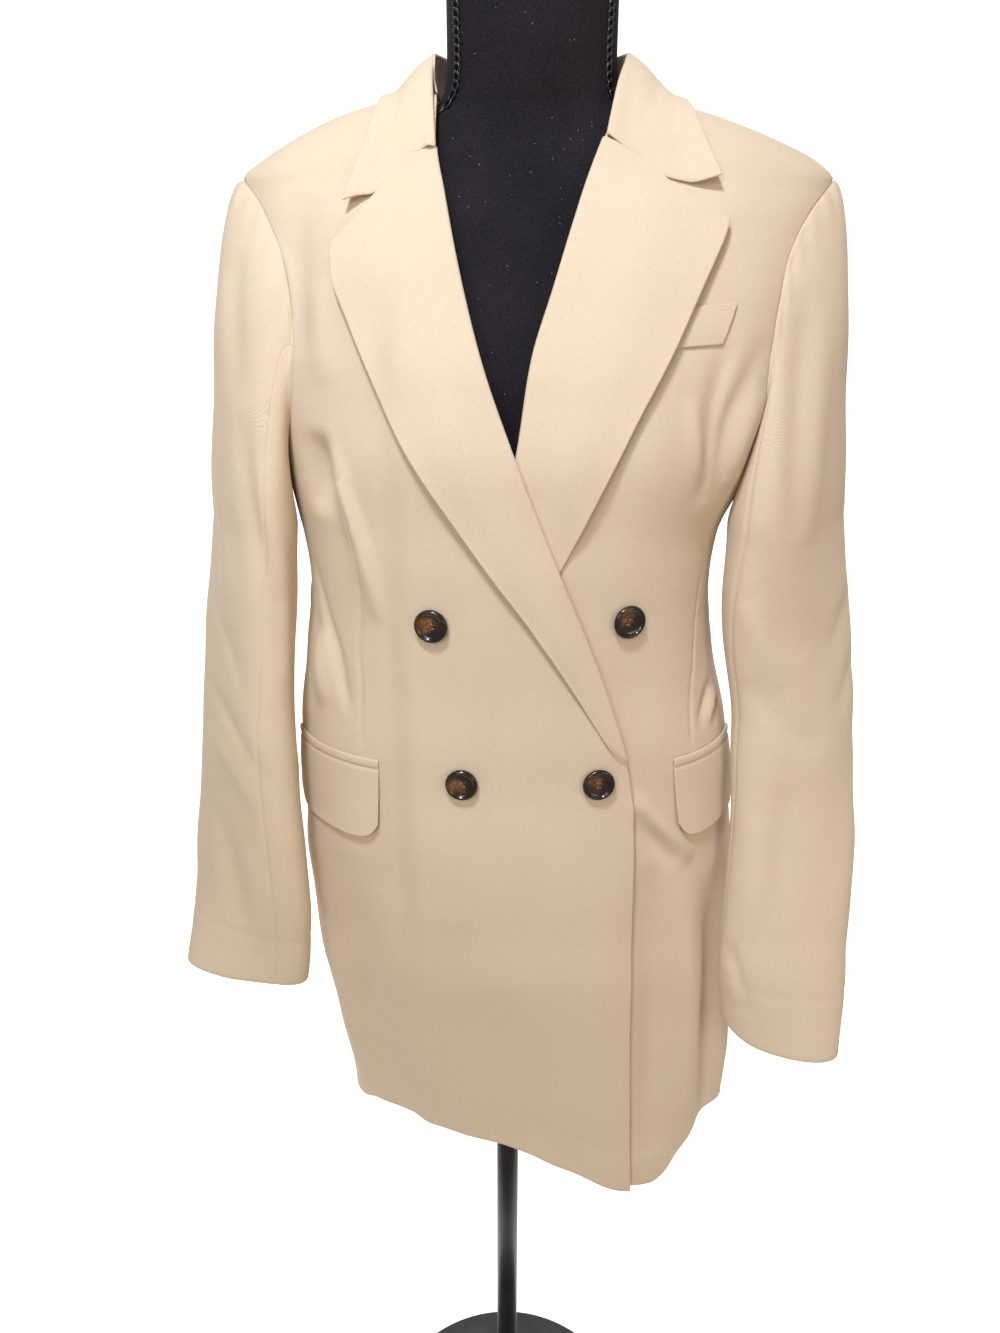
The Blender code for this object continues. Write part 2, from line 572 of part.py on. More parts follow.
def sleeve_piece(name, table, side, seams, upper, cloth):
    """The upper or the under sleeve, between the front and the back seam."""
    rows = np.concatenate([np.linspace(0, CAP_SHARE, 8), np.linspace(CAP_SHARE, 1, 11)[1:]])
    front = seams[0] + (seams[1] - seams[0]) * rows
    if upper:
        first, last, count = front - (360 - UNDER_SLEEVE), front, 12
    else:
        first, last, count = front, front + UNDER_SLEEVE, 9
    first, last = first + SLEEVE_SEAM_DEG, last - SLEEVE_SEAM_DEG
    turn = first[:, None] + (last - first)[:, None] * np.linspace(0, 1, count)
    share = np.repeat(rows[:, None], count, 1)
    outer = sleeve_point(table, side, turn, share)
    step = np.clip(share, STEP, 1 - STEP)
    along = sleeve_point(table, side, turn + 0.5, share) - sleeve_point(table, side, turn - 0.5, share)
    down = sleeve_point(table, side, turn, step + STEP) - sleeve_point(table, side, turn, step - STEP)
    normal = np.cross(along, down) * side
    normal /= np.linalg.norm(normal, axis=-1, keepdims=True)
    return shell(name, outer, outer - normal * CLOTH, cloth)


# --- pockets and buttons --------------------------------------------------------------
POCKET_Z, FLAP_H, JET_H = 0.9840, 0.0600, 0.0060
FLAP_CORNER, FLAP_STAND_OFF = 0.22, 0.0022     # share cut from a corner, lift of the foot
POCKET_IN, POCKET_OUT = {-1: 33.5, 1: 37.0}, 75.5     # degrees round the body, by side
WELT_TOP, WELT_H = 1.3135, 0.0245
WELT_IN, WELT_OUT = 0.0600, 0.1335     # x of its ends
WELT_SLANT, WELT_RISE = 0.0090, 0.0050         # lean of its ends, climb of its top edge
BUTTON_GAP = 0.0013     # shank of thread under a button
BUTTON_SIDES = 24
# Button from the middle of its back, round the rim, to the foot of its dish: shares of
# BUTTON_R and BUTTON_T.
BUTTON_PROFILE = (
    (0.72, 0.0), (0.94, 0.16), (1.0, 0.45), (0.98, 0.75), (0.90, 0.98), (0.80, 1.0),
    (0.70, 0.86), (0.62, 0.62),
)
HOLE_R, HOLE_OUT = 0.00095, 0.0027     # thread holes, and how far out from the middle
BUTTON_ROWS = ((1.1045, 0.0680), (0.9820, 0.0495))   # height and half the spacing


def flap(name, side, cloth):
    """A pocket flap with rounded lower corners, standing off a little at its foot."""
    share = np.linspace(0, 1, 11)
    angle = side * (POCKET_IN[side] + (POCKET_OUT - POCKET_IN[side]) * share)
    corner = np.abs(2 * share - 1) ** 9
    height = FLAP_H * (1 - FLAP_CORNER * corner)
    rows = np.linspace(0, 1, 5)[:, None]
    z = POCKET_Z - SEAM - height * rows
    lift = np.broadcast_to(SEAM + CLOTH + FLAP_STAND_OFF * rows**2, z.shape)
    return laid(name, np.broadcast_to(angle, z.shape), z, lift, cloth)


def jet(name, side, cloth):
    """The narrow lip of cloth along the pocket mouth, above the flap."""
    angle = side * np.linspace(POCKET_IN[side], POCKET_OUT, 9)
    angle, z = np.meshgrid(angle, POCKET_Z + SEAM + JET_H * np.linspace(0, 1, 2))
    return laid(name, angle, z, np.full_like(z, SEAM + CLOTH), cloth)


def breast_welt(cloth):
    """The slanting welt of the breast pocket, its inner end under the lapel."""
    share = np.linspace(0, 1, 7)
    rows = np.linspace(0, 1, 3)[:, None]
    x = WELT_IN + (WELT_OUT - WELT_IN) * share - WELT_SLANT * rows
    z = WELT_TOP - WELT_RISE * (1 - share) - WELT_H * rows
    return laid("breast_welt", angle_at(x, z), z, np.full_like(x, SEAM + CLOTH), cloth)


def button(name, x, z, lift, finish):
    """A dished, four-hole button with a rounded rim, lying flat on its front."""
    turn = np.arange(BUTTON_SIDES) * 2 * math.pi / BUTTON_SIDES
    points = []
    for radius, height in BUTTON_PROFILE:
        across, ahead = BUTTON_R * radius * np.cos(turn), BUTTON_R * radius * np.sin(turn)
        points += list(np.stack([across, ahead, np.full(BUTTON_SIDES, BUTTON_T * height)], -1))
    made = tube(name, points, len(BUTTON_PROFILE), BUTTON_SIDES, finish)
    angle = angle_at(np.array(x), np.array(z))
    made.location = on_body(angle, np.array(z), np.array(lift))
    made.rotation_mode = "QUATERNION"
    facing = Vector(outward(body, angle, np.array(z), *NORMAL_STEP))
    made.rotation_quaternion = facing.to_track_quat("Z", "Y")
    cutter = holes(name + "_holes")
    cutter.parent = made
    cut = made.modifiers.new("Holes", "BOOLEAN")
    cut.operation = "DIFFERENCE"
    cut.object = cutter
    return made


def holes(name):
    """Four round cutters for a button's thread holes."""
    work = bmesh.new()
    for k in range(4):
        turn = math.pi / 4 + k * math.pi / 2
        spot = (HOLE_OUT * math.cos(turn), HOLE_OUT * math.sin(turn), BUTTON_T / 2)
        made = bmesh.ops.create_cone(
            work, cap_ends=True, segments=8, radius1=HOLE_R, radius2=HOLE_R, depth=BUTTON_T * 2
        )
        bmesh.ops.translate(work, verts=made["verts"], vec=spot)
    mesh = bpy.data.meshes.new(name)
    work.to_mesh(mesh)
    work.free()
    cutter = bpy.data.objects.new(name, mesh)
    bpy.context.scene.collection.objects.link(cutter)
    cutter.hide_render = True
    cutter.display_type = "WIRE"
    return cutter


# --- dress form --------------------------------------------------------------------------
def form_torso(finish):
    """The limbless torso and neck, closed top and bottom."""
    turn = np.radians(np.arange(FORM_SIDES) * 360 / FORM_SIDES)
    across, ahead = power(np.sin(turn), FORM_SQUARE), power(np.cos(turn), FORM_SQUARE)
    points = []
    for z, half, front, back, mid in FORM:
        y = mid - np.where(ahead > 0, front, back) * ahead
        points += list(np.stack([half * across, y, np.full(FORM_SIDES, z)], -1))
    return tube("form_torso", points, len(FORM), FORM_SIDES, finish)


def stand(metal):
    """The pole, its clamp below the torso and the round base with its hub."""
    hub_top = BASE_H + HUB_H
    base = (
        (BASE_R - BEVEL, 0.0), (BASE_R, BEVEL), (BASE_R, BASE_H - BEVEL), (BASE_R - BEVEL, BASE_H),
        (HUB_R, BASE_H), (HUB_R, hub_top - BEVEL), (HUB_R - BEVEL, hub_top),
    )
    clamp_top = FORM[0][0] - SEAM
    clamp_foot = clamp_top - CLAMP_H
    clamp = ((CLAMP_R - BEVEL, clamp_foot), (CLAMP_R, clamp_foot + BEVEL), (CLAMP_R, clamp_top))
    lathe("form_base", base, metal, 48)
    lathe("form_pole", ((POLE_R, hub_top + SEAM), (POLE_R, clamp_foot - SEAM)), metal, 24)
    lathe("form_clamp", clamp, metal, 24)


def main():
    for old in list(bpy.data.objects):
        bpy.data.objects.remove(old, do_unlink=True)
    cloth = material("blazer_cloth", (0.72, 0.60, 0.45), 0.75)
    horn = material("button_horn", (0.05, 0.022, 0.010), 0.25)
    jersey = material("form_jersey", (0.018, 0.016, 0.018), 0.85)
    metal = material("stand_metal", (0.035, 0.035, 0.038), 0.40, 0.8)

    front_panel("front_right", -1, RIGHT_EDGE, overlap_lift, cloth)
    front_panel("front_left", 1, LEFT_EDGE, no_lift, cloth)
    lapel("lapel_right", RIGHT_LAPEL, RIGHT_EDGE, overlap_lift, all_free, cloth)
    lapel("lapel_left", LEFT_LAPEL, LEFT_EDGE, no_lift, past_right_front, cloth)
    for name, side, table, seams in (
        ("right", -1, RIGHT_SLEEVE, RIGHT_SLEEVE_SEAM),
        ("left", 1, LEFT_SLEEVE, LEFT_SLEEVE_SEAM),
    ):
        back_panel("back_" + name, side, cloth)
        side_panel("side_" + name, side, cloth)
        sleeve_piece("sleeve_upper_" + name, table, side, seams, True, cloth)
        sleeve_piece("sleeve_under_" + name, table, side, seams, False, cloth)
        flap("flap_" + name, side, cloth)
        jet("jet_" + name, side, cloth)
    collar_leaf(cloth)
    collar_stand(cloth)
    breast_welt(cloth)

    over = OVERLAP + BUTTON_GAP
    (upper_z, upper_half), (lower_z, lower_half) = BUTTON_ROWS
    button("button_upper_right", -upper_half, upper_z, over, horn)
    button("button_upper_left", upper_half, upper_z, BUTTON_GAP, horn)
    button("button_lower_right", -lower_half, lower_z, over, horn)
    button("button_lower_left", lower_half, lower_z, over, horn)

    form_torso(jersey)
    stand(metal)
    for made in bpy.data.objects:
        if made.parent is None:
            made.location.x -= POLE_X


main()
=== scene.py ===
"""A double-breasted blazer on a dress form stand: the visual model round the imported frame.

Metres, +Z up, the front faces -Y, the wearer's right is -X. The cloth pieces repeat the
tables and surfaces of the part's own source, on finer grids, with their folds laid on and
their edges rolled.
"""

import math

import bmesh
import bpy
import numpy as np
from mathutils import Matrix, Vector


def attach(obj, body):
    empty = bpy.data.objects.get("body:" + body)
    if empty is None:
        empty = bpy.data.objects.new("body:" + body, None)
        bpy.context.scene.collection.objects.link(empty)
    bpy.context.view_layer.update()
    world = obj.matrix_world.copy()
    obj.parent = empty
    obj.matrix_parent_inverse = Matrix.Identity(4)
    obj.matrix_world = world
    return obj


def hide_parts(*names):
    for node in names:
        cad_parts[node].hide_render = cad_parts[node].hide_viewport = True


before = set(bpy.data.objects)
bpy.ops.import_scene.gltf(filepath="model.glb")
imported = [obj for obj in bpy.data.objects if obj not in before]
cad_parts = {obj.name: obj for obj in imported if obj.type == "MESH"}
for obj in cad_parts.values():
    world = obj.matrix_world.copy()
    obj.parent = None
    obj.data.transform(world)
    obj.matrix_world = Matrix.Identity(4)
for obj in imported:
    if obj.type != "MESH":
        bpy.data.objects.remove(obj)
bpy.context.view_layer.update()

# --- sizes and tables of the part ---
CLOTH, SEAM, LAYER = 0.0016, 0.0004, 0.0024
OVERLAP, OVERLAP_RAMP, OVERLAP_FADE = 0.006, (-0.104, -0.08), (1.26, 1.37)
TIP_Z = 1.398
SIDE_SEAM, BACK_SEAM = 78, 106
ARM_MID, ARM_HALF, ARM_FRONT, ARM_BACK = 1.297, 0.101, 36, 34
ARM_ROUND, ARM_INSET, ARM_UNDER = 2.2, 1.015, 0.001
HEM_Z, SWING_TOP, SWING, SWING_EASE = 0.595, 0.95, 0.25, (0.06, 0.03)
POLE_X = -0.014
BUTTON_R, BUTTON_T, BUTTON_GAP = 0.0122, 0.0042, 0.0013
PANEL_TOP = 1.4475

# height, half-width right, half-width left, depth front, depth back, centre y, roundness
BODY = (
    (0.56, 0.172, 0.188, 0.114, 0.12, 0, 2.35),
    (0.66, 0.18, 0.189, 0.118, 0.118, 0, 2.35),
    (0.78, 0.189, 0.187, 0.127, 0.115, 0.001, 2.35),
    (0.9, 0.192, 0.181, 0.13, 0.111, 0.002, 2.35),
    (0.99, 0.19, 0.169, 0.129, 0.106, 0.003, 2.35),
    (1.06, 0.181, 0.153, 0.13, 0.101, 0.003, 2.3),
    (1.11, 0.175, 0.146, 0.132, 0.101, 0.003, 2.3),
    (1.15, 0.178, 0.149, 0.135, 0.105, 0.003, 2.3),
    (1.2, 0.187, 0.171, 0.137, 0.112, 0.003, 2.3),
    (1.26, 0.197, 0.194, 0.13, 0.117, 0.004, 2.25),
    (1.32, 0.202, 0.205, 0.112, 0.115, 0.005, 2.2),
    (1.37, 0.205, 0.213, 0.089, 0.103, 0.006, 2.1),
    (1.398, 0.207, 0.218, 0.069, 0.09, 0.006, 2),
    (1.411, 0.193, 0.203, 0.063, 0.083, 0.006, 2),
    (1.425, 0.167, 0.171, 0.056, 0.074, 0.006, 2),
    (1.437, 0.14, 0.136, 0.05, 0.064, 0.006, 2),
    (1.4445, 0.114, 0.106, 0.046, 0.056, 0.006, 2),
    (1.452, 0.066, 0.068, 0.042, 0.047, 0.006, 2),
)
# Front edge, then roll line, then neckline of each front: height, x.
RIGHT_EDGE = (
    (0.56, 0.0935), (0.75, 0.084), (0.95, 0.0775), (0.985, 0.0725), (1.05, 0.053),
    (1.14, 0.0178), (1.21, -0.0105), (1.29, -0.0388), (1.38, -0.0595), (1.416, -0.0655),
    (1.452, -0.065),
)
LEFT_EDGE = (
    (0.56, -0.075), (0.985, -0.075), (1.03, -0.07), (1.12, -0.044), (1.216, -0.0111),
    (1.28, -0.0004), (1.322, 0.0132), (1.384, 0.0343), (1.422, 0.0497), (1.44, 0.0575),
    (1.452, 0.065),
)
# Lapels, one row for each section: height on the roll line, then x and height of the edge.
RIGHT_LAPEL = (
    (0.99, 0.0665, 0.9925), (1.008, 0.048, 1.024), (1.04, 0.0265, 1.061),
    (1.08, -0.001, 1.105), (1.12, -0.0328, 1.1507), (1.16, -0.057, 1.187),
    (1.2, -0.08, 1.222), (1.245, -0.103, 1.266), (1.285, -0.118, 1.3),
    (1.325, -0.13, 1.33), (1.346, -0.1321, 1.347), (1.366, -0.1246, 1.357),
    (1.382, -0.1161, 1.366), (1.396, -0.1042, 1.3796), (1.4035, -0.093, 1.3964),
    (1.408, -0.083, 1.4074), (1.4115, -0.0731, 1.4132),
)
LEFT_LAPEL = (
    (1.04, -0.061, 1.042), (1.075, -0.033, 1.07), (1.11, -0.008, 1.102),
    (1.15, 0.0169, 1.1413), (1.185, 0.0417, 1.1938), (1.22, 0.066, 1.243),
    (1.25, 0.0891, 1.2851), (1.29, 0.108, 1.324), (1.328, 0.124, 1.356),
    (1.35, 0.1263, 1.364), (1.376, 0.112, 1.3725), (1.393, 0.0985, 1.3815),
    (1.404, 0.0844, 1.392), (1.411, 0.0707, 1.404), (1.4165, 0.0574, 1.4143),
)
LAPEL_CURL, LAPEL_SWELL, PAST_EDGE = 0.006, (1.32, 0.1), (0.004, 0.035)
# Collar: share of the way, crease x, y, z, then edge x, y, z.
COLLAR_BACK = (
    (0, 0, 0.074, 1.48, 0, 0.1, 1.436),
    (0.2, 0.033, 0.066, 1.481, 0.047, 0.09, 1.437),
    (0.4, 0.059, 0.042, 1.4815, 0.083, 0.056, 1.443),
    (0.6, 0.07, 0.006, 1.479, 0.099, 0.004, 1.448),
)
COLLAR_RIGHT = COLLAR_BACK + (
    (0.8, 0.0685, -0.031, 1.454, 0.106, -0.04, 1.428),
    (1, 0.0655, -0.0575, 1.4155, 0.1248, -0.072, 1.3785),
)
COLLAR_LEFT = COLLAR_BACK + (
    (0.8, 0.06, -0.031, 1.459, 0.1085, -0.0365, 1.431),
    (1, 0.0497, -0.056, 1.4225, 0.1226, -0.066, 1.394),
)
# The collar's front end: share from crease to edge, height above a straight line.
END_RIGHT = (
    (0, 0), (0.13, 0.005), (0.25, 0.0052), (0.37, 0.0037), (0.51, -0.0003),
    (0.65, -0.0076), (0.82, -0.0036), (1, 0),
)
END_LEFT = (
    (0, 0), (0.11, -0.0022), (0.2, -0.005), (0.29, -0.0079), (0.39, -0.0125),
    (0.48, -0.0165), (0.72, -0.0122), (1, 0),
)
END_FADE = (0.62, 1)
NECK_SEAM = (
    (0, 0, 1.4385), (0.2, 0.028, 1.4415), (0.4, 0.051, 1.4455),
    (0.6, 0.066, 1.449), (0.72, 0.0655, 1.447), (0.8, 0.064, 1.437),
)
STAND_END, RIDGE, RIDGE_EASE = 0.7, 0.6, 0.12
NOTCH = 0.62             # share of the end, from crease to edge, that is sewn to the lapel
COLLAR_LAP = 0.0035      # the collar's end laps over the lapel beside the roll
COLLAR_SWELL, COLLAR_STAND_OFF, COLLAR_MIDDLE = 0.004, 0.004, (0, 0, 1.38)
BACK_NECK = (
    (0.56, 0), (1.4375, 0), (1.4405, 0.024), (1.444, 0.044), (1.452, 0.066),
)
# Hem: degrees round the body, height above HEM_Z.
HEM = (
    (-180, 0), (-110, -0.006), (-80, -0.024), (-62, -0.01), (-48, 0.01), (-23, 0.0245),
    (-5, 0.026), (8, 0.01), (24, -0.012), (33, -0.015), (37, -0.01), (45, 0.016),
    (53, 0.03), (65, 0.036), (85, 0.026), (110, 0.006), (180, 0),
)
# Sleeves: height, centre outwards, centre y, half-width, half-thickness, heading.
RIGHT_SLEEVE = (
    (1.16, 0.214, -0.022, 0.08, 0.028, 24), (1.08, 0.223, -0.027, 0.077, 0.029, 29),
    (1, 0.231, -0.034, 0.075, 0.029, 33), (0.92, 0.234, -0.046, 0.071, 0.027, 42),
    (0.85, 0.235, -0.058, 0.065, 0.025, 54), (0.81, 0.2385, -0.065, 0.059, 0.023, 66),
    (0.777, 0.243, -0.07, 0.056, 0.022, 76),
)
LEFT_SLEEVE = (
    (1.16, 0.202, -0.024, 0.081, 0.0345, 35), (1.08, 0.2075, -0.034, 0.071, 0.0325, 50),
    (1, 0.2165, -0.048, 0.058, 0.03, 62), (0.92, 0.2165, -0.07, 0.0535, 0.027, 74),
    (0.86, 0.2125, -0.092, 0.0505, 0.026, 86), (0.8, 0.209, -0.112, 0.05, 0.025, 100),
    (0.747, 0.208, -0.125, 0.0485, 0.024, 116),
)
RIGHT_SLEEVE_SEAM, LEFT_SLEEVE_SEAM = (95, 38), (95, 88)
UNDER_SLEEVE, CAP_SHARE, CAP_OUT, CAP_DOWN = 150, 0.34, 0.02, 0.1
UNDERARM_OUT, UNDERARM_DOWN, SLEEVE_SEAM_DEG = 0.004, 0.01, 0.03
CUFF_DIP = {-1: 0.007, 1: -0.012}
POCKET_Z, FLAP_H, JET_H, FLAP_CORNER, FLAP_STAND_OFF = 0.984, 0.06, 0.006, 0.22, 0.0022
POCKET_IN, POCKET_OUT = {-1: 33.5, 1: 37.0}, 75.5
WELT_TOP, WELT_H, WELT_IN, WELT_OUT = 1.3135, 0.0245, 0.06, 0.1335
WELT_SLANT, WELT_RISE = 0.009, 0.005
BUTTON_ROWS = ((1.1045, 0.068), (0.982, 0.0495))
# Dress form: height, half-width, depth front, depth back, centre y.
FORM = (
    (0.78, 0.14, 0.085, 0.08, 0.002), (0.8, 0.15, 0.092, 0.086, 0.002),
    (0.88, 0.152, 0.096, 0.09, 0.002), (0.96, 0.142, 0.094, 0.084, 0.003),
    (1.05, 0.122, 0.092, 0.078, 0.003), (1.12, 0.122, 0.104, 0.08, 0.003),
    (1.19, 0.142, 0.117, 0.092, 0.003), (1.25, 0.158, 0.112, 0.098, 0.004),
    (1.31, 0.168, 0.094, 0.096, 0.005), (1.355, 0.178, 0.076, 0.088, 0.006),
    (1.385, 0.18, 0.062, 0.076, 0.006), (1.404, 0.168, 0.054, 0.068, 0.006),
    (1.418, 0.138, 0.049, 0.062, 0.006), (1.43, 0.1, 0.045, 0.056, 0.004),
    (1.44, 0.07, 0.043, 0.052, 0.002), (1.456, 0.06, 0.044, 0.049, 0),
    (1.48, 0.0585, 0.046, 0.047, 0), (1.512, 0.0585, 0.046, 0.047, 0),
)
FORM_SQUARE = 0.92
POLE_R, BASE_R, BASE_H = 0.011, 0.165, 0.014
HUB_R, HUB_H, CLAMP_R, CLAMP_H, BEVEL = 0.026, 0.06, 0.021, 0.03, 0.002

# --- folds, placed one by one ---
# Body: half-width, height (below 0 a trough), lean, then the line as degrees and heights.
BODY_FOLDS = (
    # right front, chest to waist
    (0.008, 0.004, 0.35, ((-43.5, 1.235), (-40.6, 1.19), (-38.1, 1.153), (-34.7, 1.1))),
    (0.014, -0.0055, 0, ((-47.5, 1.232), (-49.2, 1.2045), (-51.5, 1.175))),
    (0.006, -0.0026, -0.2, ((-66, 1.138), (-59.5, 1.098), (-52.4, 1.069), (-48.6, 1.045),
                            (-44.5, 1.026))),
    (0.011, 0.0036, 0, ((-62, 1.082), (-59.7, 1.052), (-57, 1.022))),
    (0.008, -0.0022, 0.2, ((-78, 1.16), (-80, 1.13), (-84, 1.1))),
    (0.012, 0.0022, 0, ((-74, 1.09), (-70, 1.05), (-69, 1))),
    # right chest by the armhole
    (0.014, -0.0026, 0, ((-47, 1.385), (-51, 1.35), (-50.5, 1.315), (-48, 1.28))),
    (0.012, 0.0018, 0, ((-42, 1.33), (-43.5, 1.295), (-43, 1.262))),
    # left front, under the welt
    (0.008, -0.0022, 0.2, ((38.5, 1.291), (37, 1.254), (40.1, 1.214), (44, 1.18))),
    (0.007, 0.0016, 0, ((29.8, 1.256), (32.8, 1.235), (36.6, 1.215), (41, 1.196))),
    (0.009, -0.0026, 0, ((50, 1.292), (43.3, 1.242), (45.6, 1.2135), (50, 1.185))),
    (0.012, 0.0024, 0, ((52.5, 1.26), (50.5, 1.225), (54, 1.19))),
    # left waist and hip
    (0.0045, -0.0022, -0.3, ((67.5, 1.039), (60, 1.031), (54.5, 1.021), (49.7, 1.009))),
    (0.0055, 0.0018, 0, ((69, 1.029), (62, 1.02), (56, 1.01))),
    (0.0045, -0.0016, 0, ((69, 1.02), (63.5, 1.013), (59.9, 1.004))),
    (0.007, 0.0034, 0.35, ((23.5, 0.967), (30.3, 0.942), (37, 0.921), (43.5, 0.9))),
    (0.008, -0.003, 0, ((24, 0.95), (30, 0.922), (37, 0.898))),
    # skirt, right front
    (0.03, 0.003, 0, ((-58, 0.93), (-60, 0.8), (-62, 0.68), (-63, 0.6))),
    (0.026, -0.0032, 0, ((-47, 0.9), (-45, 0.78), (-44.5, 0.68), (-45, 0.61))),
    (0.026, 0.0018, 0, ((-31, 0.88), (-29, 0.76), (-28, 0.64))),
    (0.024, -0.0018, 0, ((-14, 0.86), (-13, 0.74), (-13, 0.64))),
    (0.02, -0.0016, 0.2, ((-2, 0.8), (0, 0.7), (2, 0.62))),
    # skirt, left front
    (0.018, -0.0046, 0, ((29, 0.905), (30.5, 0.8), (32, 0.7), (33, 0.61))),
    (0.016, 0.004, 0, ((41, 0.89), (43.5, 0.78), (45.5, 0.68), (46.5, 0.6))),
    (0.014, -0.0046, 0, ((53, 0.88), (55.5, 0.78), (56.5, 0.68), (57, 0.6))),
    (0.018, 0.0034, 0, ((64, 0.9), (67, 0.79), (69, 0.69), (69.5, 0.6))),
    (0.017, -0.0034, 0, ((80, 0.88), (82, 0.78), (83.5, 0.69), (84, 0.6))),
    # sides
    (0.02, 0.003, 0, ((-82, 0.9), (-84, 0.79), (-85, 0.69), (-85, 0.6))),
    (0.022, -0.0034, 0, ((-97, 0.91), (-99, 0.8), (-100, 0.7), (-100, 0.6))),
    (0.006, -0.0018, 0.2, ((96, 1.12), (90, 1.095), (82, 1.075), (76, 1.062))),
    (0.007, 0.0018, 0, ((-96, 1.13), (-91, 1.105), (-86, 1.085))),
    # back: blades, waist and hips, skirt
    (0.016, -0.0036, 0, ((-127, 1.345), (-129, 1.29), (-127, 1.235), (-122, 1.19))),
    (0.014, 0.0026, 0.2, ((-136, 1.33), (-138, 1.28), (-135, 1.225))),
    (0.017, -0.0034, 0, ((126, 1.34), (129, 1.285), (126, 1.23), (120, 1.185))),
    (0.015, 0.0024, -0.2, ((138, 1.322), (139, 1.272), (136, 1.22))),
    (0.008, -0.0024, 0.3, ((-118, 1.112), (-132, 1.092), (-148, 1.086), (-163, 1.094))),
    (0.01, 0.0024, 0, ((-112, 1.08), (-128, 1.062), (-146, 1.058))),
    (0.007, -0.002, 0, ((-116, 1.046), (-130, 1.034), (-143, 1.036))),
    (0.008, -0.0022, -0.3, ((116, 1.106), (131, 1.088), (149, 1.082), (160, 1.088))),
    (0.009, 0.0022, 0, ((113, 1.072), (130, 1.056), (150, 1.056))),
    (0.01, -0.0018, 0, ((148, 1.395), (160, 1.386), (172, 1.384))),
    (0.01, -0.0018, 0, ((-150, 1.397), (-161, 1.388), (-171, 1.385))),
    (0.026, 0.0036, 0, ((-124, 0.93), (-126, 0.81), (-128, 0.69), (-129, 0.59))),
    (0.024, -0.004, 0, ((-143, 0.93), (-144, 0.8), (-146, 0.69), (-147, 0.59))),
    (0.022, 0.003, 0, ((-163, 0.9), (-162, 0.78), (-162, 0.59))),
    (0.024, -0.0036, 0, ((166, 0.89), (165, 0.77), (164, 0.59))),
    (0.023, 0.0034, 0, ((147, 0.92), (146, 0.8), (145, 0.59))),
    (0.024, -0.0038, 0, ((128, 0.93), (127, 0.81), (125, 0.59))),
    (0.02, 0.0028, 0, ((109, 0.9), (108, 0.79), (107, 0.59))),
)
# Waist darts of the fronts, sewn shut: degrees and heights.
DARTS = (
    ((-41.4, 1.196), (-41, 1.1416), (-42.1, 1.0783), (-40.8, 1.0499), (-38.6, 0.992)),
    ((58.5, 1.128), (57.7, 1.1147), (52.9, 1.0625), (48, 1.0304), (44.6, 0.992)),
)
# Right sleeve: half-width, height, lean, then the line as degrees round it and shares down.
RIGHT_SLEEVE_FOLDS = (
    (0.011, -0.0034, 0, ((48, 0.235), (55, 0.28), (70, 0.35), (84, 0.43), (92, 0.52))),
    (0.01, 0.0024, 0, ((70, 0.26), (82, 0.33), (96, 0.42))),
    (0.012, -0.0026, 0, ((30, 0.11), (38, 0.17), (46, 0.235))),
    (0.014, 0.0022, 0, ((5, 0.25), (14, 0.34), (26, 0.44))),
    (0.01, -0.0018, 0.2, ((-30, 0.42), (-5, 0.45), (25, 0.5), (50, 0.56))),
    (0.009, -0.0022, 0, ((-20, 0.56), (8, 0.58), (38, 0.62), (66, 0.68))),
    (0.01, 0.0018, 0, ((-10, 0.63), (20, 0.66), (52, 0.72))),
    (0.014, -0.0024, 0, ((-5, 0.74), (6, 0.82), (10, 0.91))),
    (0.012, 0.0018, 0, ((30, 0.78), (28, 0.86), (22, 0.95))),
    (0.011, -0.0026, 0, ((120, 0.36), (128, 0.45), (133, 0.56), (138, 0.67))),
    (0.013, -0.0028, 0, ((-60, 0.15), (-66, 0.22), (-70, 0.3))),
    (0.012, 0.0024, 0, ((-84, 0.3), (-80, 0.38), (-72, 0.46))),
    (0.009, -0.0026, 0, ((-120, 0.48), (-95, 0.5), (-70, 0.54))),
    (0.009, -0.0024, 0, ((-125, 0.57), (-100, 0.58), (-72, 0.62))),
    (0.013, 0.0022, 0, ((-100, 0.68), (-94, 0.78), (-90, 0.88))),
    (0.012, -0.0024, 0, ((170, 0.3), (168, 0.42), (172, 0.54))),
)
LEFT_SLEEVE_FOLDS = (
    (0.012, -0.003, 0, ((52, 0.12), (54, 0.19), (50, 0.27), (42, 0.35))),
    (0.013, 0.0022, 0, ((34, 0.18), (30, 0.27), (26, 0.36))),
    (0.012, -0.0024, 0.2, ((80, 0.33), (62, 0.39), (40, 0.45), (15, 0.5))),
    (0.011, 0.002, 0, ((78, 0.42), (56, 0.47), (32, 0.53))),
    (0.011, -0.0022, -0.2, ((74, 0.52), (48, 0.56), (20, 0.6), (-5, 0.62))),
    (0.014, -0.0022, 0, ((26, 0.66), (20, 0.74), (12, 0.83))),
    (0.012, 0.002, 0, ((50, 0.7), (42, 0.78), (34, 0.86))),
    (0.007, -0.0022, 0.3, ((64, 0.87), (52, 0.895), (38, 0.925), (26, 0.965))),
    (0.007, 0.0016, 0, ((60, 0.9), (48, 0.925), (36, 0.955))),
    (0.014, -0.0026, 0, ((-30, 0.16), (-34, 0.25), (-36, 0.33))),
    (0.011, -0.0022, 0, ((-50, 0.44), (-30, 0.46), (-6, 0.5))),
    (0.01, -0.0024, 0, ((-60, 0.52), (-36, 0.545), (-14, 0.58))),
    (0.013, 0.0022, 0, ((-62, 0.62), (-58, 0.74), (-56, 0.86))),
    (0.012, -0.0026, 0, ((-120, 0.3), (-116, 0.42), (-112, 0.54))),
    (0.012, -0.0024, 0, ((170, 0.32), (166, 0.43), (168, 0.54))),
    (0.013, 0.0022, 0, ((-95, 0.62), (-92, 0.76), (-90, 0.88))),
)
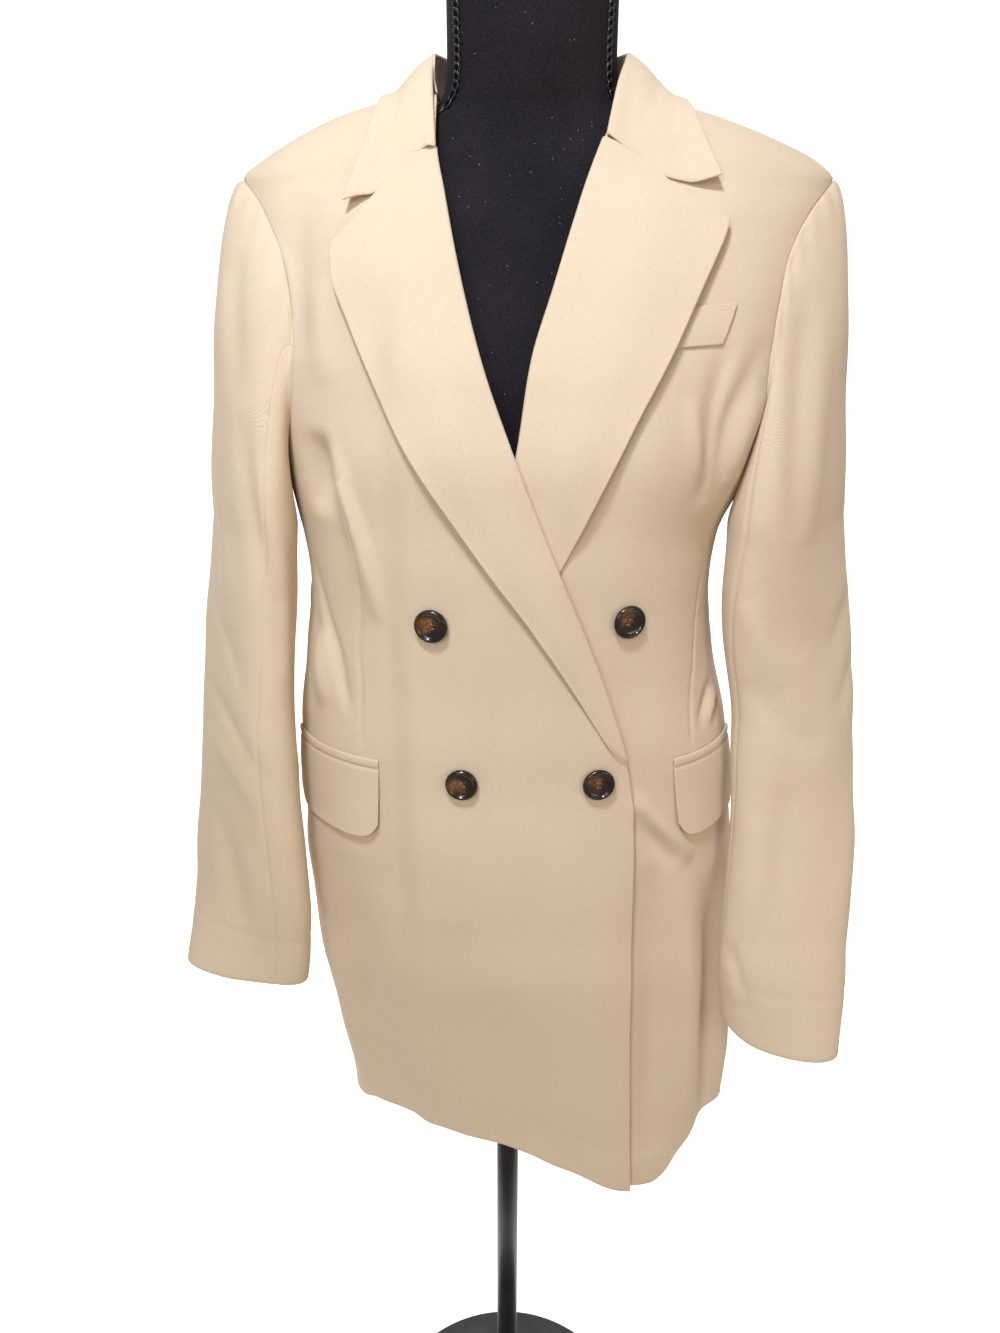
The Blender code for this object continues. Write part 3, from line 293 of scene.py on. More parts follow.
BODY_DEPTH, SLEEVE_DEPTH, LAPEL_DEPTH = 1.9, 1.15, 0.8     # scales of the folds' heights
FOLD_REACH = 3           # a fold is felt this many of its half-widths away
CALM_NECK = (1.400, 1.440)     # folds fade out between these heights
# Seams and hems: how far a seam's puckers reach and spread, how fine they are, and the
# stitched line above a hem as depth, height above the edge and half-width.
SEAM_REACH, PUCKER_WIDTH, PUCKER_FINE, SEAM_ENDS = 0.016, 0.005, (420, 61), 0.10
HEM_LINE, HEM_TURN, CUFF_LINE = (0.0004, 0.038, 0.0022), (0.0006, 0.006), (0.0005, 0.030, 0.0020)
HEAD_EASE, HEAD_RIPPLES = 0.0006, 26     # the sleeve head's ripples, height and how many
# Grids of the cloth: rows, columns.
FRONT_GRID, BACK_GRID, SIDE_GRID, LAPEL_GRID = (190, 150), (180, 96), (130, 40), (150, 46)
FLAP_GRID, JET_GRID, WELT_GRID = (44, 90), (10, 90), (26, 70)
SLEEVE_ROWS, UPPER_COLUMNS, UNDER_COLUMNS = 170, 92, 66
# Slow unevenness over all cloth: wavelength in metres along x, y and z, phase, height.
SWAYS = (
    ((0.21, 0.33, 0.17), 0.7, 0.0009),
    ((0.13, -0.19, 0.24), 2.1, 0.0007),
    ((-0.09, 0.12, 0.11), 4, 0.0004),
)


# --- curves ---
def through(rows, at):
    """Every column of a table at the heights or shares in at, on a smooth curve that
    never overshoots its rows (monotone cubic)."""
    table = np.array(rows, float)
    x, y = table[:, 0], table[:, 1:]
    if x[0] > x[-1]:
        x, y = x[::-1], y[::-1]
    step = np.diff(x)[:, None]
    rise = np.diff(y, axis=0) / step
    slope = np.zeros_like(y)
    same_way = rise[:-1] * rise[1:] > 0
    before, after = 2 * step[1:] + step[:-1], step[1:] + 2 * step[:-1]
    with np.errstate(divide="ignore", invalid="ignore"):
        mean = (before + after) / (before / rise[:-1] + after / rise[1:])
    slope[1:-1] = np.where(same_way, mean, 0.0)
    slope[0], slope[-1] = rise[0], rise[-1]
    at = np.clip(np.asarray(at, float), x[0], x[-1])
    k = np.clip(np.searchsorted(x, at, side="right") - 1, 0, len(x) - 2)
    h = step[k][..., 0]
    t = (at - x[k]) / h
    t, h = t[..., None], h[..., None]
    return (
        (2 * t**3 - 3 * t**2 + 1) * y[k]
        + (t**3 - 2 * t**2 + t) * h * slope[k]
        + (3 * t**2 - 2 * t**3) * y[k + 1]
        + (t**3 - t**2) * h * slope[k + 1]
    )


def along_rows(rows, count):
    """Points of a table taken in order, count of them, on a smooth curve."""
    numbered = [(k, *row) for k, row in enumerate(rows)]
    return through(numbered, np.linspace(0, len(rows) - 1, count))


def unit(vectors):
    return vectors / np.linalg.norm(vectors, axis=-1, keepdims=True)


def smooth(low, high, x):
    t = np.clip((np.asarray(x, float) - low) / (high - low), 0, 1)
    return t * t * (3 - 2 * t)


def power(value, exponent):
    return np.sign(value) * np.abs(value) ** exponent


def close_at_ends(count, how=0.55):
    """Shares from 0 to 1 that lie closer together towards both ends."""
    t = np.linspace(0, 1, count)
    return (1 - how) * t + how * t * t * (3 - 2 * t)


# --- the body surface ---
def body(angle, z):
    """Point of the body surface at an angle in degrees and a height."""
    angle, z = np.broadcast_arrays(np.asarray(angle, float), np.asarray(z, float))
    right, left, front, back, mid, round_ = np.moveaxis(through(BODY, z), -1, 0)
    across, ahead = np.sin(np.radians(angle)), np.cos(np.radians(angle))
    x = np.where(across < 0, right, left) * power(across, 2 / round_)
    y = mid - np.where(ahead > 0, front, back) * power(ahead, 2 / round_)
    past = np.maximum(x - SWING_EASE[0], 0)
    arm = np.minimum(x, SWING_EASE[0]) + SWING_EASE[1] * np.tanh(past / SWING_EASE[1])
    y = y - SWING * (1 - smooth(BODY[0][0], SWING_TOP, z)) * arm
    return np.stack([x, y, z], -1)


def outward(place, u, v, du, dv):
    along = place(u + du, v) - place(u - du, v)
    up = place(u, v + dv) - place(u, v - dv)
    return unit(np.cross(along, up))


def body_normal(angle, z):
    return outward(body, angle, z, 0.4, 0.0015)


def on_body(angle, z, lift):
    angle, z = np.broadcast_arrays(np.asarray(angle, float), np.asarray(z, float))
    return body(angle, z) + body_normal(angle, z) * np.asarray(lift, float)[..., None]


def angle_at(x, z):
    """Angle on the front of the body surface that lies at x."""
    right, left, _, _, _, round_ = np.moveaxis(through(BODY, z), -1, 0)
    share = np.clip(np.abs(x) / np.where(x < 0, right, left), 0, 1)
    return np.degrees(np.arcsin(share ** (round_ / 2))) * np.sign(x)


def arm_reach(z, reach):
    share = np.clip(np.abs(z - ARM_MID) / ARM_HALF, 0, 1)
    return reach * (1 - share**ARM_ROUND) ** (1 / ARM_ROUND)


def short_of_side(z, reach, seam):
    """Degrees from the side at which a panel ends: its seam, then the armhole."""
    arm = np.where(z > TIP_Z, 0.0, arm_reach(z, reach))
    return np.where(z < ARM_MID, np.maximum(arm, seam), arm)


def seam_step(angle, z):
    """Half the seam gap, in degrees, at a place on the body surface."""
    per_degree = np.linalg.norm(body(angle + 0.5, z) - body(angle - 0.5, z), axis=-1)
    return np.minimum(SEAM / 2 / np.maximum(per_degree, 1e-4), 1.2)


def overlap_lift(x, z):
    return OVERLAP * smooth(*OVERLAP_RAMP, x) * (1 - smooth(*OVERLAP_FADE, z))


def no_lift(x, z):
    return np.zeros_like(x + z)


def hemmed(angle, z):
    """Heights with the hem's own line blended in below the skirt's swing."""
    fade = 1 - smooth(HEM_Z, SWING_TOP, z)
    return z + through(HEM, angle)[..., 0] * fade


# --- folds on a surface ---
def route(place, line, count=70):
    """A fold's line: its surface coordinates, its points and its unit directions."""
    uv = along_rows(line, count)
    spots = place(uv[:, 0], uv[:, 1])
    return uv, spots, unit(np.gradient(spots, axis=0))


def near_route(points, coords, place, line, reach):
    """Distances from points to a line on the surface: which points, how far, share, side."""
    uv, spots, ahead = route(place, line)
    flat, uvs = points.reshape(-1, 3), coords.reshape(-1, 2)
    low, high = spots.min(0) - reach, spots.max(0) + reach
    close = np.flatnonzero(np.all((flat > low) & (flat < high), axis=1))
    gap = flat[close][:, None] - spots[None]
    nearest = (gap**2).sum(-1).argmin(1)
    rows = np.arange(len(close))
    off = gap[rows, nearest]
    on = (off * ahead[nearest]).sum(-1)
    far = np.linalg.norm(off - on[:, None] * ahead[nearest], axis=-1)
    length = np.linalg.norm(np.diff(spots, axis=0), axis=-1).sum()
    share = np.clip(nearest / (len(spots) - 1) + on / length, 0, 1)
    beyond = np.maximum(np.abs(on) - length / (len(spots) - 1), 0)
    far = np.hypot(far, beyond)
    step = np.gradient(uv, axis=0)[nearest]
    away = uvs[close] - uv[nearest]
    side = np.sign(away[:, 0] * step[:, 1] - away[:, 1] * step[:, 0])
    return close, far, share, side


def folded(points, coords, place, folds):
    """Height of listed folds over a grid of points."""
    height = np.zeros(points.shape[0] * points.shape[1])
    for width, deep, lean, line in folds:
        close, far, share, side = near_route(points, coords, place, line, width * FOLD_REACH)
        fade = np.sin(np.pi * share) ** 0.75
        height[close] += deep * fade * np.exp(-((far / (width * (1 + lean * side))) ** 2))
    return height.reshape(points.shape[:2])


def swayed(points):
    """Slow unevenness of the cloth."""
    height = np.zeros(points.shape[:2])
    for lengths, phase, tall in SWAYS:
        turn = 2 * np.pi * points / np.array(lengths)
        height += tall * np.sin(turn.sum(-1) + phase) * np.cos(turn[..., 2] * 0.6 - turn[..., 0])
    return height


def sewn(points, coords, place, lines, width=0.0017, deep=0.0014, pucker=0.00025):
    """The fine valley of a sewn seam with slight puckers beside it."""
    height = np.zeros(points.shape[0] * points.shape[1])
    for line in lines:
        close, far, share, _ = near_route(points, coords, place, line, SEAM_REACH)
        ends = smooth(0, SEAM_ENDS, share) * smooth(0, SEAM_ENDS, 1 - share)
        up = points.reshape(-1, 3)[close][:, 2]
        ripple = np.sin(up * PUCKER_FINE[0] + 3 * np.sin(up * PUCKER_FINE[1]))
        height[close] -= ends * deep * np.exp(-((far / width) ** 2))
        height[close] += ends * pucker * ripple * np.exp(-((far / PUCKER_WIDTH) ** 2))
    return height.reshape(points.shape[:2])


def body_relief(angle, z):
    """All that the body's folds, darts and unevenness add to its surface."""
    points, coords = body(angle, z), np.stack([angle, z], -1)
    calm = 1 - smooth(*CALM_NECK, z)
    made = folded(points, coords, body, BODY_FOLDS) * BODY_DEPTH * calm
    return made + swayed(points) * calm + sewn(points, coords, body, DARTS)


def edge_dip(outer, sides, deep=0.0007, reach=0.0035):
    """Valley beside the sewn edges of a piece: sides of the grid named by letters."""
    dip = np.zeros(outer.shape[:2])
    measures = {
        "l": np.linalg.norm(outer - outer[:, :1], axis=-1),
        "r": np.linalg.norm(outer - outer[:, -1:], axis=-1),
        "t": np.linalg.norm(outer - outer[-1:], axis=-1),
        "b": np.linalg.norm(outer - outer[:1], axis=-1),
    }
    for side in sides:
        dip = np.maximum(dip, 1 - smooth(0, reach, measures[side]))
    return deep * dip


# --- meshes ---
def rim_of(rows, cols):
    """Grid places round the rim, in order."""
    top = [(0, c) for c in range(cols)]
    right = [(r, cols - 1) for r in range(1, rows)]
    low = [(rows - 1, c) for c in range(cols - 2, -1, -1)]
    left = [(r, 0) for r in range(rows - 2, 0, -1)]
    return np.array(top + right + low + left)


def weave_coordinates(grid):
    """Distances in metres across and up a grid of points, for the weave."""
    across = np.zeros(grid.shape[:2])
    across[:, 1:] = np.cumsum(np.linalg.norm(np.diff(grid, axis=1), axis=-1), axis=1)
    up = np.zeros(grid.shape[:2])
    up[1:] = np.cumsum(np.linalg.norm(np.diff(grid, axis=0), axis=-1), axis=0)
    across -= across.mean(axis=1, keepdims=True)
    return np.stack([across, up], -1)


def placed(name, data, place=(0, 0, 0)):
    """A new object of the scene."""
    made = bpy.data.objects.new(name, data)
    made.location = place
    bpy.context.scene.collection.objects.link(made)
    return made


def built(name, points, faces, finish, weave=None):
    """A mesh object with its faces turned to point out."""
    mesh = bpy.data.meshes.new(name)
    mesh.from_pydata(np.asarray(points, float).tolist(), [], faces)
    work = bmesh.new()
    work.from_mesh(mesh)
    if work.calc_volume(signed=True) < 0:
        bmesh.ops.reverse_faces(work, faces=work.faces)
    work.to_mesh(mesh)
    work.free()
    if weave is not None:
        corner = np.empty(len(mesh.loops), int)
        mesh.loops.foreach_get("vertex_index", corner)
        layer = mesh.uv_layers.new(name="weave")
        layer.data.foreach_set("uv", np.asarray(weave)[corner].ravel().astype(np.float32))
    mesh.shade_smooth()
    mesh.materials.append(finish)
    return placed(name, mesh)


def shell(name, outer, inner, finish, bulge=0.5):
    """A cloth wall between two grids, its rim rounded."""
    rows, cols = outer.shape[:2]
    count = rows * cols
    number = np.arange(count).reshape(rows, cols)
    quads = np.stack([number[:-1, :-1], number[:-1, 1:], number[1:, 1:], number[1:, :-1]], -1)
    quads = quads.reshape(-1, 4)
    faces = quads.tolist() + (quads[:, ::-1] + count).tolist()
    rim = rim_of(rows, cols)
    inside = np.stack([np.clip(rim[:, 0], 1, rows - 2), np.clip(rim[:, 1], 1, cols - 2)], -1)
    top, low = outer[rim[:, 0], rim[:, 1]], inner[rim[:, 0], rim[:, 1]]
    beyond = top - outer[inside[:, 0], inside[:, 1]]
    beyond /= np.linalg.norm(beyond, axis=-1, keepdims=True) + 1e-12
    rings = []
    for share in (0.2, 0.5, 0.8):
        out = beyond * CLOTH * bulge * math.sin(math.pi * share)
        rings.append(top + (low - top) * share + out)
    ids = [number[rim[:, 0], rim[:, 1]]]
    ids += [2 * count + k * len(rim) + np.arange(len(rim)) for k in range(3)]
    ids.append(ids[0] + count)
    for a, b in zip(ids, ids[1:]):
        strip = np.stack([np.roll(a, -1), a, b, np.roll(b, -1)], -1)
        faces += strip.tolist()
    points = np.concatenate([outer.reshape(-1, 3), inner.reshape(-1, 3), *rings])
    flat = weave_coordinates(outer)
    rim_weave = flat[rim[:, 0], rim[:, 1]]
    weave = np.concatenate([flat.reshape(-1, 2)] * 2 + [rim_weave] * 3)
    return built(name, points, faces, finish, weave)


def laid(name, angle, z, lift, finish, thick=CLOTH, relief=1.0, dips=""):
    """A cloth piece on the body surface, from grids of angle, height and lift."""
    lift = lift + relief * body_relief(angle, z)
    if dips:
        lift = lift - edge_dip(on_body(angle, z, lift), dips)
    return shell(name, on_body(angle, z, lift), on_body(angle, z, lift - thick), finish)


def lathe(name, rings, finish, sides, centre=(POLE_X, 0.0)):
    turn = np.arange(sides) * 2 * math.pi / sides
    points = []
    for radius, z in rings:
        across, ahead = centre[0] + radius * np.cos(turn), centre[1] + radius * np.sin(turn)
        points += list(np.stack([across, ahead, np.full(sides, z)], -1))
    return tube(name, points, len(rings), sides, finish)


def tube_faces(rings, sides, start=0):
    """Faces of a closed tube whose points run ring by ring from start."""
    faces = []
    for r in range(start, start + (rings - 1) * sides, sides):
        for c in range(sides):
            a, b = r + c, r + (c + 1) % sides
            faces.append((a, b, b + sides, a + sides))
    last = start + (rings - 1) * sides
    faces.append(tuple(range(start + sides - 1, start - 1, -1)))
    faces.append(tuple(range(last, last + sides)))
    return faces


def tube(name, points, rings, sides, finish, weave=None):
    return built(name, points, tube_faces(rings, sides), finish, weave)


# --- materials ---
class Nodes:
    """Short calls for building a material's node tree."""

    def __init__(self, name):
        self.material = bpy.data.materials.new(name)
        self.material.use_nodes = True
        self.tree = self.material.node_tree
        self.shader = self.tree.nodes["Principled BSDF"]

    def add(self, kind, **settings):
        node = self.tree.nodes.new(kind)
        for key, value in settings.items():
            setattr(node, key, value)
        return node

    def link(self, source, target):
        self.tree.links.new(source, target)

    def into(self, **sources):
        for key, source in sources.items():
            self.link(source, self.shader.inputs[key.replace("_", " ")])

    def spot(self):
        return self.add("ShaderNodeTexCoord").outputs["Object"]

    def shifted(self, vector, by):
        node = self.add("ShaderNodeVectorMath", operation="ADD")
        self.link(vector, node.inputs[0])
        node.inputs[1].default_value = by
        return node.outputs["Vector"]

    def math(self, kind, a, b=None, clamp=False):
        node = self.add("ShaderNodeMath", operation=kind, use_clamp=clamp)
        for k, value in enumerate((a, b)):
            if value is None:
                continue
            if isinstance(value, (int, float)):
                node.inputs[k].default_value = value
            else:
                self.link(value, node.inputs[k])
        return node.outputs[0]

    def scaled(self, a, by, plus):
        return self.math("ADD", self.math("MULTIPLY", a, by), plus)

    def mixed(self, a, share_a, b, share_b):
        return self.scaled(a, share_a, self.math("MULTIPLY", b, share_b))

    def noise(self, vector, scale, detail=3.0, rough=0.5):
        node = self.add("ShaderNodeTexNoise")
        node.inputs["Scale"].default_value = scale
        node.inputs["Detail"].default_value = detail
        node.inputs["Roughness"].default_value = rough
        self.link(vector, node.inputs["Vector"])
        return node.outputs["Fac"]

    def ramp(self, source, stops):
        node = self.add("ShaderNodeValToRGB")
        while len(node.color_ramp.elements) < len(stops):
            node.color_ramp.elements.new(0.5)
        for element, (place, colour) in zip(node.color_ramp.elements, stops):
            element.position = place
            element.color = (*colour, 1)
        self.link(source, node.inputs["Fac"])
        return node.outputs["Color"]

    def bump(self, height, strength, distance, before=None):
        node = self.add("ShaderNodeBump")
        node.inputs["Strength"].default_value = strength
        node.inputs["Distance"].default_value = distance
        self.link(height, node.inputs["Height"])
        if before is not None:
            self.link(before, node.inputs["Normal"])
        return node.outputs["Normal"]

    def set(self, **values):
        for key, value in values.items():
            self.shader.inputs[key.replace("_", " ")].default_value = value


TWILL_PITCH = 0.00105    # metres from one diagonal rib to the next, across the cloth
THREAD_PITCH = 0.00052
CLOTH_DARK, CLOTH_PALE = (0.580, 0.445, 0.300), (0.745, 0.610, 0.450)


def cloth_finish():
    """Beige suiting twill: fine diagonal ribs, fibre noise, a faint sheen."""
    n = Nodes("blazer_cloth")
    uv = n.add("ShaderNodeUVMap", uv_map="weave").outputs["UV"]
    spot = n.spot()
    parts = n.add("ShaderNodeSeparateXYZ")
    n.link(uv, parts.inputs[0])
    across, up = parts.outputs[0], parts.outputs[1]
    wobble = n.math("MULTIPLY", n.noise(spot, 130.0, 2.0), 0.0011)
    lean = n.math("ADD", n.scaled(up, 0.62, across), wobble)
    rib = n.math("SINE", n.math("MULTIPLY", lean, 2 * math.pi / TWILL_PITCH))
    thread = n.math("SINE", n.math("MULTIPLY", up, 2 * math.pi / THREAD_PITCH))
    weave = n.math("ADD", n.mixed(rib, 0.36, thread, 0.14), 0.5)
    slub = n.noise(spot, 620.0, 2.0, 0.6)
    cloud = n.noise(spot, 5.5, 3.0, 0.55)
    tone = n.scaled(cloud, 0.30, n.mixed(weave, 0.30, slub, 0.40))
    coarse = n.bump(n.noise(spot, 34.0, 3.0, 0.55), 0.16, 0.0016)
    n.into(
        Base_Color=n.ramp(tone, ((0.22, CLOTH_DARK), (0.80, CLOTH_PALE))),
        Roughness=n.scaled(weave, -0.10, 0.84),
        Normal=n.bump(n.mixed(weave, 0.65, slub, 0.5), 0.24, 0.00022, coarse),
    )
    n.set(Sheen_Weight=0.16, Sheen_Roughness=0.45, Specular_IOR_Level=0.22)
    n.shader.inputs["Sheen Tint"].default_value = (1.0, 0.96, 0.90, 1)
    return n.material


def horn_finish():
    """Polished dark brown imitation horn: amber clouds in the dish, a near-black rim, the amber set
    off towards the upper left as painted light.
    """
    n = Nodes("button_horn")
    spot = n.spot()
    across = n.add("ShaderNodeUVMap", uv_map="weave").outputs["UV"]
    length = n.add("ShaderNodeVectorMath", operation="LENGTH")
    # the dish's bright amber centre is shifted towards the upper left, the side the key lamp falls
    # from: a painted lit side
    n.link(n.shifted(across, (0.0030, -0.0030, 0.0)), length.inputs[0])
    dish = n.ramp(length.outputs["Value"], (
        (0.0030, (1.0, 1.0, 1.0)), (0.0080, (0.34, 0.34, 0.34)), (0.0125, (0.0, 0.0, 0.0)),
    ))
    clouds = n.noise(spot, 95.0, 4.0, 0.62)
    veins = n.noise(spot, 320.0, 3.0, 0.5)
    mixed = n.scaled(dish, 0.34, n.mixed(clouds, 0.62, veins, 0.14))
    colour = n.ramp(mixed, (
        (0.42, (0.005, 0.0022, 0.0016)), (0.54, (0.022, 0.008, 0.004)),
        (0.66, (0.110, 0.042, 0.013)), (0.80, (0.300, 0.130, 0.042)),
    ))
    n.into(
        Base_Color=colour, Roughness=n.scaled(veins, 0.10, 0.14), Normal=n.bump(veins, 0.08, 0.0002)
    )
    n.set(Coat_Weight=0.35, Coat_Roughness=0.08)
    return n.material


def jersey_finish():
    """Matt black jersey with fine stitches and specks of lint."""
    n = Nodes("form_jersey")
    spot = n.spot()
    fine = n.noise(spot, 900.0, 2.0, 0.7)
    cloud = n.noise(spot, 14.0, 3.0, 0.5)
    lint = n.add("ShaderNodeTexVoronoi", feature="F1")
    lint.inputs["Scale"].default_value = 150.0
    n.link(spot, lint.inputs["Vector"])
    speck = n.math("LESS_THAN", lint.outputs["Distance"], 0.055)
    colour = n.ramp(n.mixed(fine, 0.7, cloud, 0.3), (
        (0.36, (0.0050, 0.0042, 0.0056)), (0.66, (0.022, 0.017, 0.021)),
    ))
    mix = n.add("ShaderNodeMix", data_type="RGBA")
    n.link(n.math("MULTIPLY", speck, 0.45), mix.inputs["Factor"])
    n.link(colour, mix.inputs["A"])
    mix.inputs["B"].default_value = (0.42, 0.40, 0.42, 1)
    n.into(
        Base_Color=mix.outputs["Result"], Roughness=n.scaled(fine, 0.10, 0.82),
        Normal=n.bump(fine, 0.45, 0.0004),
    )
    n.set(Sheen_Weight=0.03, Sheen_Roughness=0.5, Specular_IOR_Level=0.12)
    return n.material


def metal_finish():
    """Satin dark grey paint on the stand, lightly textured."""
    n = Nodes("stand_metal")
    spot = n.spot()
    grain = n.noise(spot, 700.0, 2.0, 0.6)
    wear = n.noise(spot, 22.0, 4.0, 0.6)
    n.into(
        Base_Color=n.ramp(wear, ((0.35, (0.026, 0.026, 0.029)), (0.70, (0.046, 0.046, 0.050)))),
        Roughness=n.scaled(wear, 0.16, 0.30),
        Normal=n.bump(grain, 0.12, 0.0002),
    )
    n.set(Metallic=0.75)
    return n.material


def thread_finish(name, dark, pale, rough):
    """Twisted sewing thread."""
    n = Nodes(name)
    fine = n.noise(n.spot(), 2600.0, 2.0, 0.6)
    n.into(
        Base_Color=n.ramp(fine, ((0.3, dark), (0.7, pale))), Roughness=n.scaled(fine, 0.1, rough),
        Normal=n.bump(fine, 0.4, 0.0002),
    )
    return n.material


# --- body panels ---
def panel_heights(count):
    """Panel heights from the hem to the neck, closer along the hem."""
    t = np.linspace(0, 1, count)
    return HEM_Z + (PANEL_TOP - HEM_Z) * (t - 0.030 * np.sin(2 * np.pi * t))


def stitched_line(above, line):
    deep, height, width = line
    return -deep * np.exp(-(((above - height) / width) ** 2))


def hem_line(z):
    """The turned-up hem shows as a shallow step above the edge."""
    above = z - HEM_Z
    return stitched_line(above, HEM_LINE) + HEM_TURN[0] * (1 - smooth(0, HEM_TURN[1], above))


def front_panel(name, side, edge, lift_of, finish):
    z = panel_heights(FRONT_GRID[0])
    inner = angle_at(through(edge, z)[:, 0], z)
    limit = 90 - short_of_side(z, ARM_FRONT, 90 - SIDE_SEAM)
    limit = side * (limit - seam_step(limit, z))
    share = close_at_ends(FRONT_GRID[1], 0.4)
    angle = inner[:, None] + (limit - inner)[:, None] * share
    base = np.repeat(z[:, None], len(share), 1)
    heights = hemmed(angle, base)
    lift = lift_of(body(angle, heights)[..., 0], heights) + hem_line(base)
    return laid(name, angle, heights, lift, finish, dips="rt")


def back_panel(name, side, finish):
    z = panel_heights(BACK_GRID[0])
    half = through(BODY, z)[:, 0 if side < 0 else 1]
    from_back = np.degrees(np.arcsin(np.clip(through(BACK_NECK, z)[:, 0] / half, 0, 1)))
    centre = 180 - np.maximum(from_back, seam_step(np.full_like(z, 179.0), z))
    limit = 90 + short_of_side(z, ARM_BACK, BACK_SEAM - 90)
    limit = limit + seam_step(limit, z)
    share = close_at_ends(BACK_GRID[1])
    angle = side * (centre[:, None] + (limit - centre)[:, None] * share)
    base = np.repeat(z[:, None], len(share), 1)
    return laid(name, angle, hemmed(angle, base), hem_line(base), finish, dips="lrt")


def side_panel(name, side, finish):
    edge = seam_step(np.array([SIDE_SEAM, BACK_SEAM]), np.array([1.1, 1.1])) * 1.25
    share = close_at_ends(SIDE_GRID[1])
    angle = SIDE_SEAM + edge[0] + (BACK_SEAM - edge[1] - SIDE_SEAM - edge[0]) * share
    reach = np.where(angle < 90, ARM_FRONT, ARM_BACK)
    top = ARM_MID - ARM_HALF * (1 - (np.abs(angle - 90) / reach) ** ARM_ROUND) ** (1 / ARM_ROUND)
    up = np.linspace(0, 1, SIDE_GRID[0])[:, None]
    z = HEM_Z + (top[None, :] - HEM_Z) * up
    angle = side * np.repeat(angle[None, :], len(z), 0)
    return laid(name, angle, hemmed(angle, z), hem_line(z), finish, dips="lrt")


# --- lapels and collar ---
ROLL_R, COLLAR_ROLL_R, ROLL_STEPS = 0.0020, 0.0018, 9
THINNEST = 0.0001        # least radius inside a roll
LAPEL_BOW, LAPEL_SINK = 0.0022, 0.045     # height of the bow, share that sinks


def rolled(first, normal, beyond, radius):
    """Lines of points that turn the cloth back under its edge: outside and inside."""
    centre = first - normal * radius
    around, within = [], []
    for turn in np.linspace(np.pi, 0, ROLL_STEPS, endpoint=False):
        way = normal * math.cos(turn) + beyond * math.sin(turn)
        around.append(centre + way * radius)
        within.append(centre + way * np.maximum(radius - CLOTH, THINNEST))
    return around, within


def lapel(name, rows, edge, base_of, free, finish):
    """A lapel with its cloth rolled round the front's edge."""
    roll_z, out_x, out_z = along_rows(rows, LAPEL_GRID[0]).T
    roll_x = through(edge, roll_z)[:, 0]
    share = close_at_ends(LAPEL_GRID[1], 0.4)
    x = roll_x[:, None] + (out_x - roll_x)[:, None] * share
    z = roll_z[:, None] + (out_z - roll_z)[:, None] * share
    along = np.linspace(0, 1, len(roll_z))[:, None]
    swell = np.sin(np.pi * np.clip(along * LAPEL_SWELL[0] - LAPEL_SWELL[1], 0, 1))
    curl = LAPEL_CURL * swell**0.8 * share**2
    angle = angle_at(x, z)
    relief = body_relief(angle, z) * LAPEL_DEPTH
    # the cloth bows out softly between roll and edge, and its lower end sinks into the front
    bow = LAPEL_BOW * np.sin(np.pi * np.clip(along * 1.1, 0, 1)) * np.sin(np.pi * share) ** 2
    lift = base_of(x, z) + LAYER + curl * free(x, z) + relief + bow * free(x, z)
    lift = lift - (LAYER + SEAM) * (1 - smooth(0.0, LAPEL_SINK, along))
    lift = lift - edge_dip(on_body(angle, z, lift), "t", 0.0008, 0.0030)
    outer, inner = on_body(angle, z, lift), on_body(angle, z, lift - CLOTH)

    radius = ROLL_R * (0.25 + 0.75 * smooth(0, 0.10, along))
    normal = body_normal(angle[:, 0], z[:, 0])
    around, within = rolled(outer[:, 0], normal, unit(outer[:, 0] - outer[:, 3]), radius)
    outer = np.concatenate([np.stack(around, 1), outer], 1)
    inner = np.concatenate([np.stack(within, 1), inner], 1)
    return shell(name, outer, inner, finish)


def all_free(x, z):
    return np.ones_like(x)


def past_right_front(x, z):
    return smooth(*PAST_EDGE, x - through(RIGHT_EDGE, z)[..., 0])


def body_samples():
    angle, z = np.meshgrid(np.linspace(-180, 180, 241), np.linspace(1.30, BODY[-1][0], 80))
    return body(angle, z).reshape(-1, 3), body_normal(angle, z).reshape(-1, 3)


def rest_on_body(points, clearance, held):
    """Moves points out until each lies at least its clearance above the body surface;
    where held is 1 a point lies exactly at its clearance."""
    near, normals = body_samples()
    flat = points.reshape(-1, 3).copy()
    wanted = np.broadcast_to(clearance, points.shape[:-1]).reshape(-1)
    bound = np.broadcast_to(held, points.shape[:-1]).reshape(-1)
    for i, p in enumerate(flat):
        k = int(np.argmin(((near - p) ** 2).sum(1)))
        short = wanted[i] - float((p - near[k]) @ normals[k])
        flat[i] = p + normals[k] * (max(0.0, short) * (1 - bound[i]) + short * bound[i])
    return flat.reshape(points.shape)


def relaxed(grid, times):
    """A grid with its inner points eased towards their neighbours."""
    grid = grid.copy()
    for _ in range(times):
        mean = (grid[:-2, 1:-1] + grid[2:, 1:-1] + grid[1:-1, :-2] + grid[1:-1, 2:]) / 4
        grid[1:-1, 1:-1] += 0.5 * (mean - grid[1:-1, 1:-1])
    return grid


def collar_line(columns, share):
    right = through(COLLAR_RIGHT, np.abs(share))[:, columns] * (-1, 1, 1)
    left = through(COLLAR_LEFT, np.abs(share))[:, columns]
    return np.where(share[:, None] < 0, right, left)


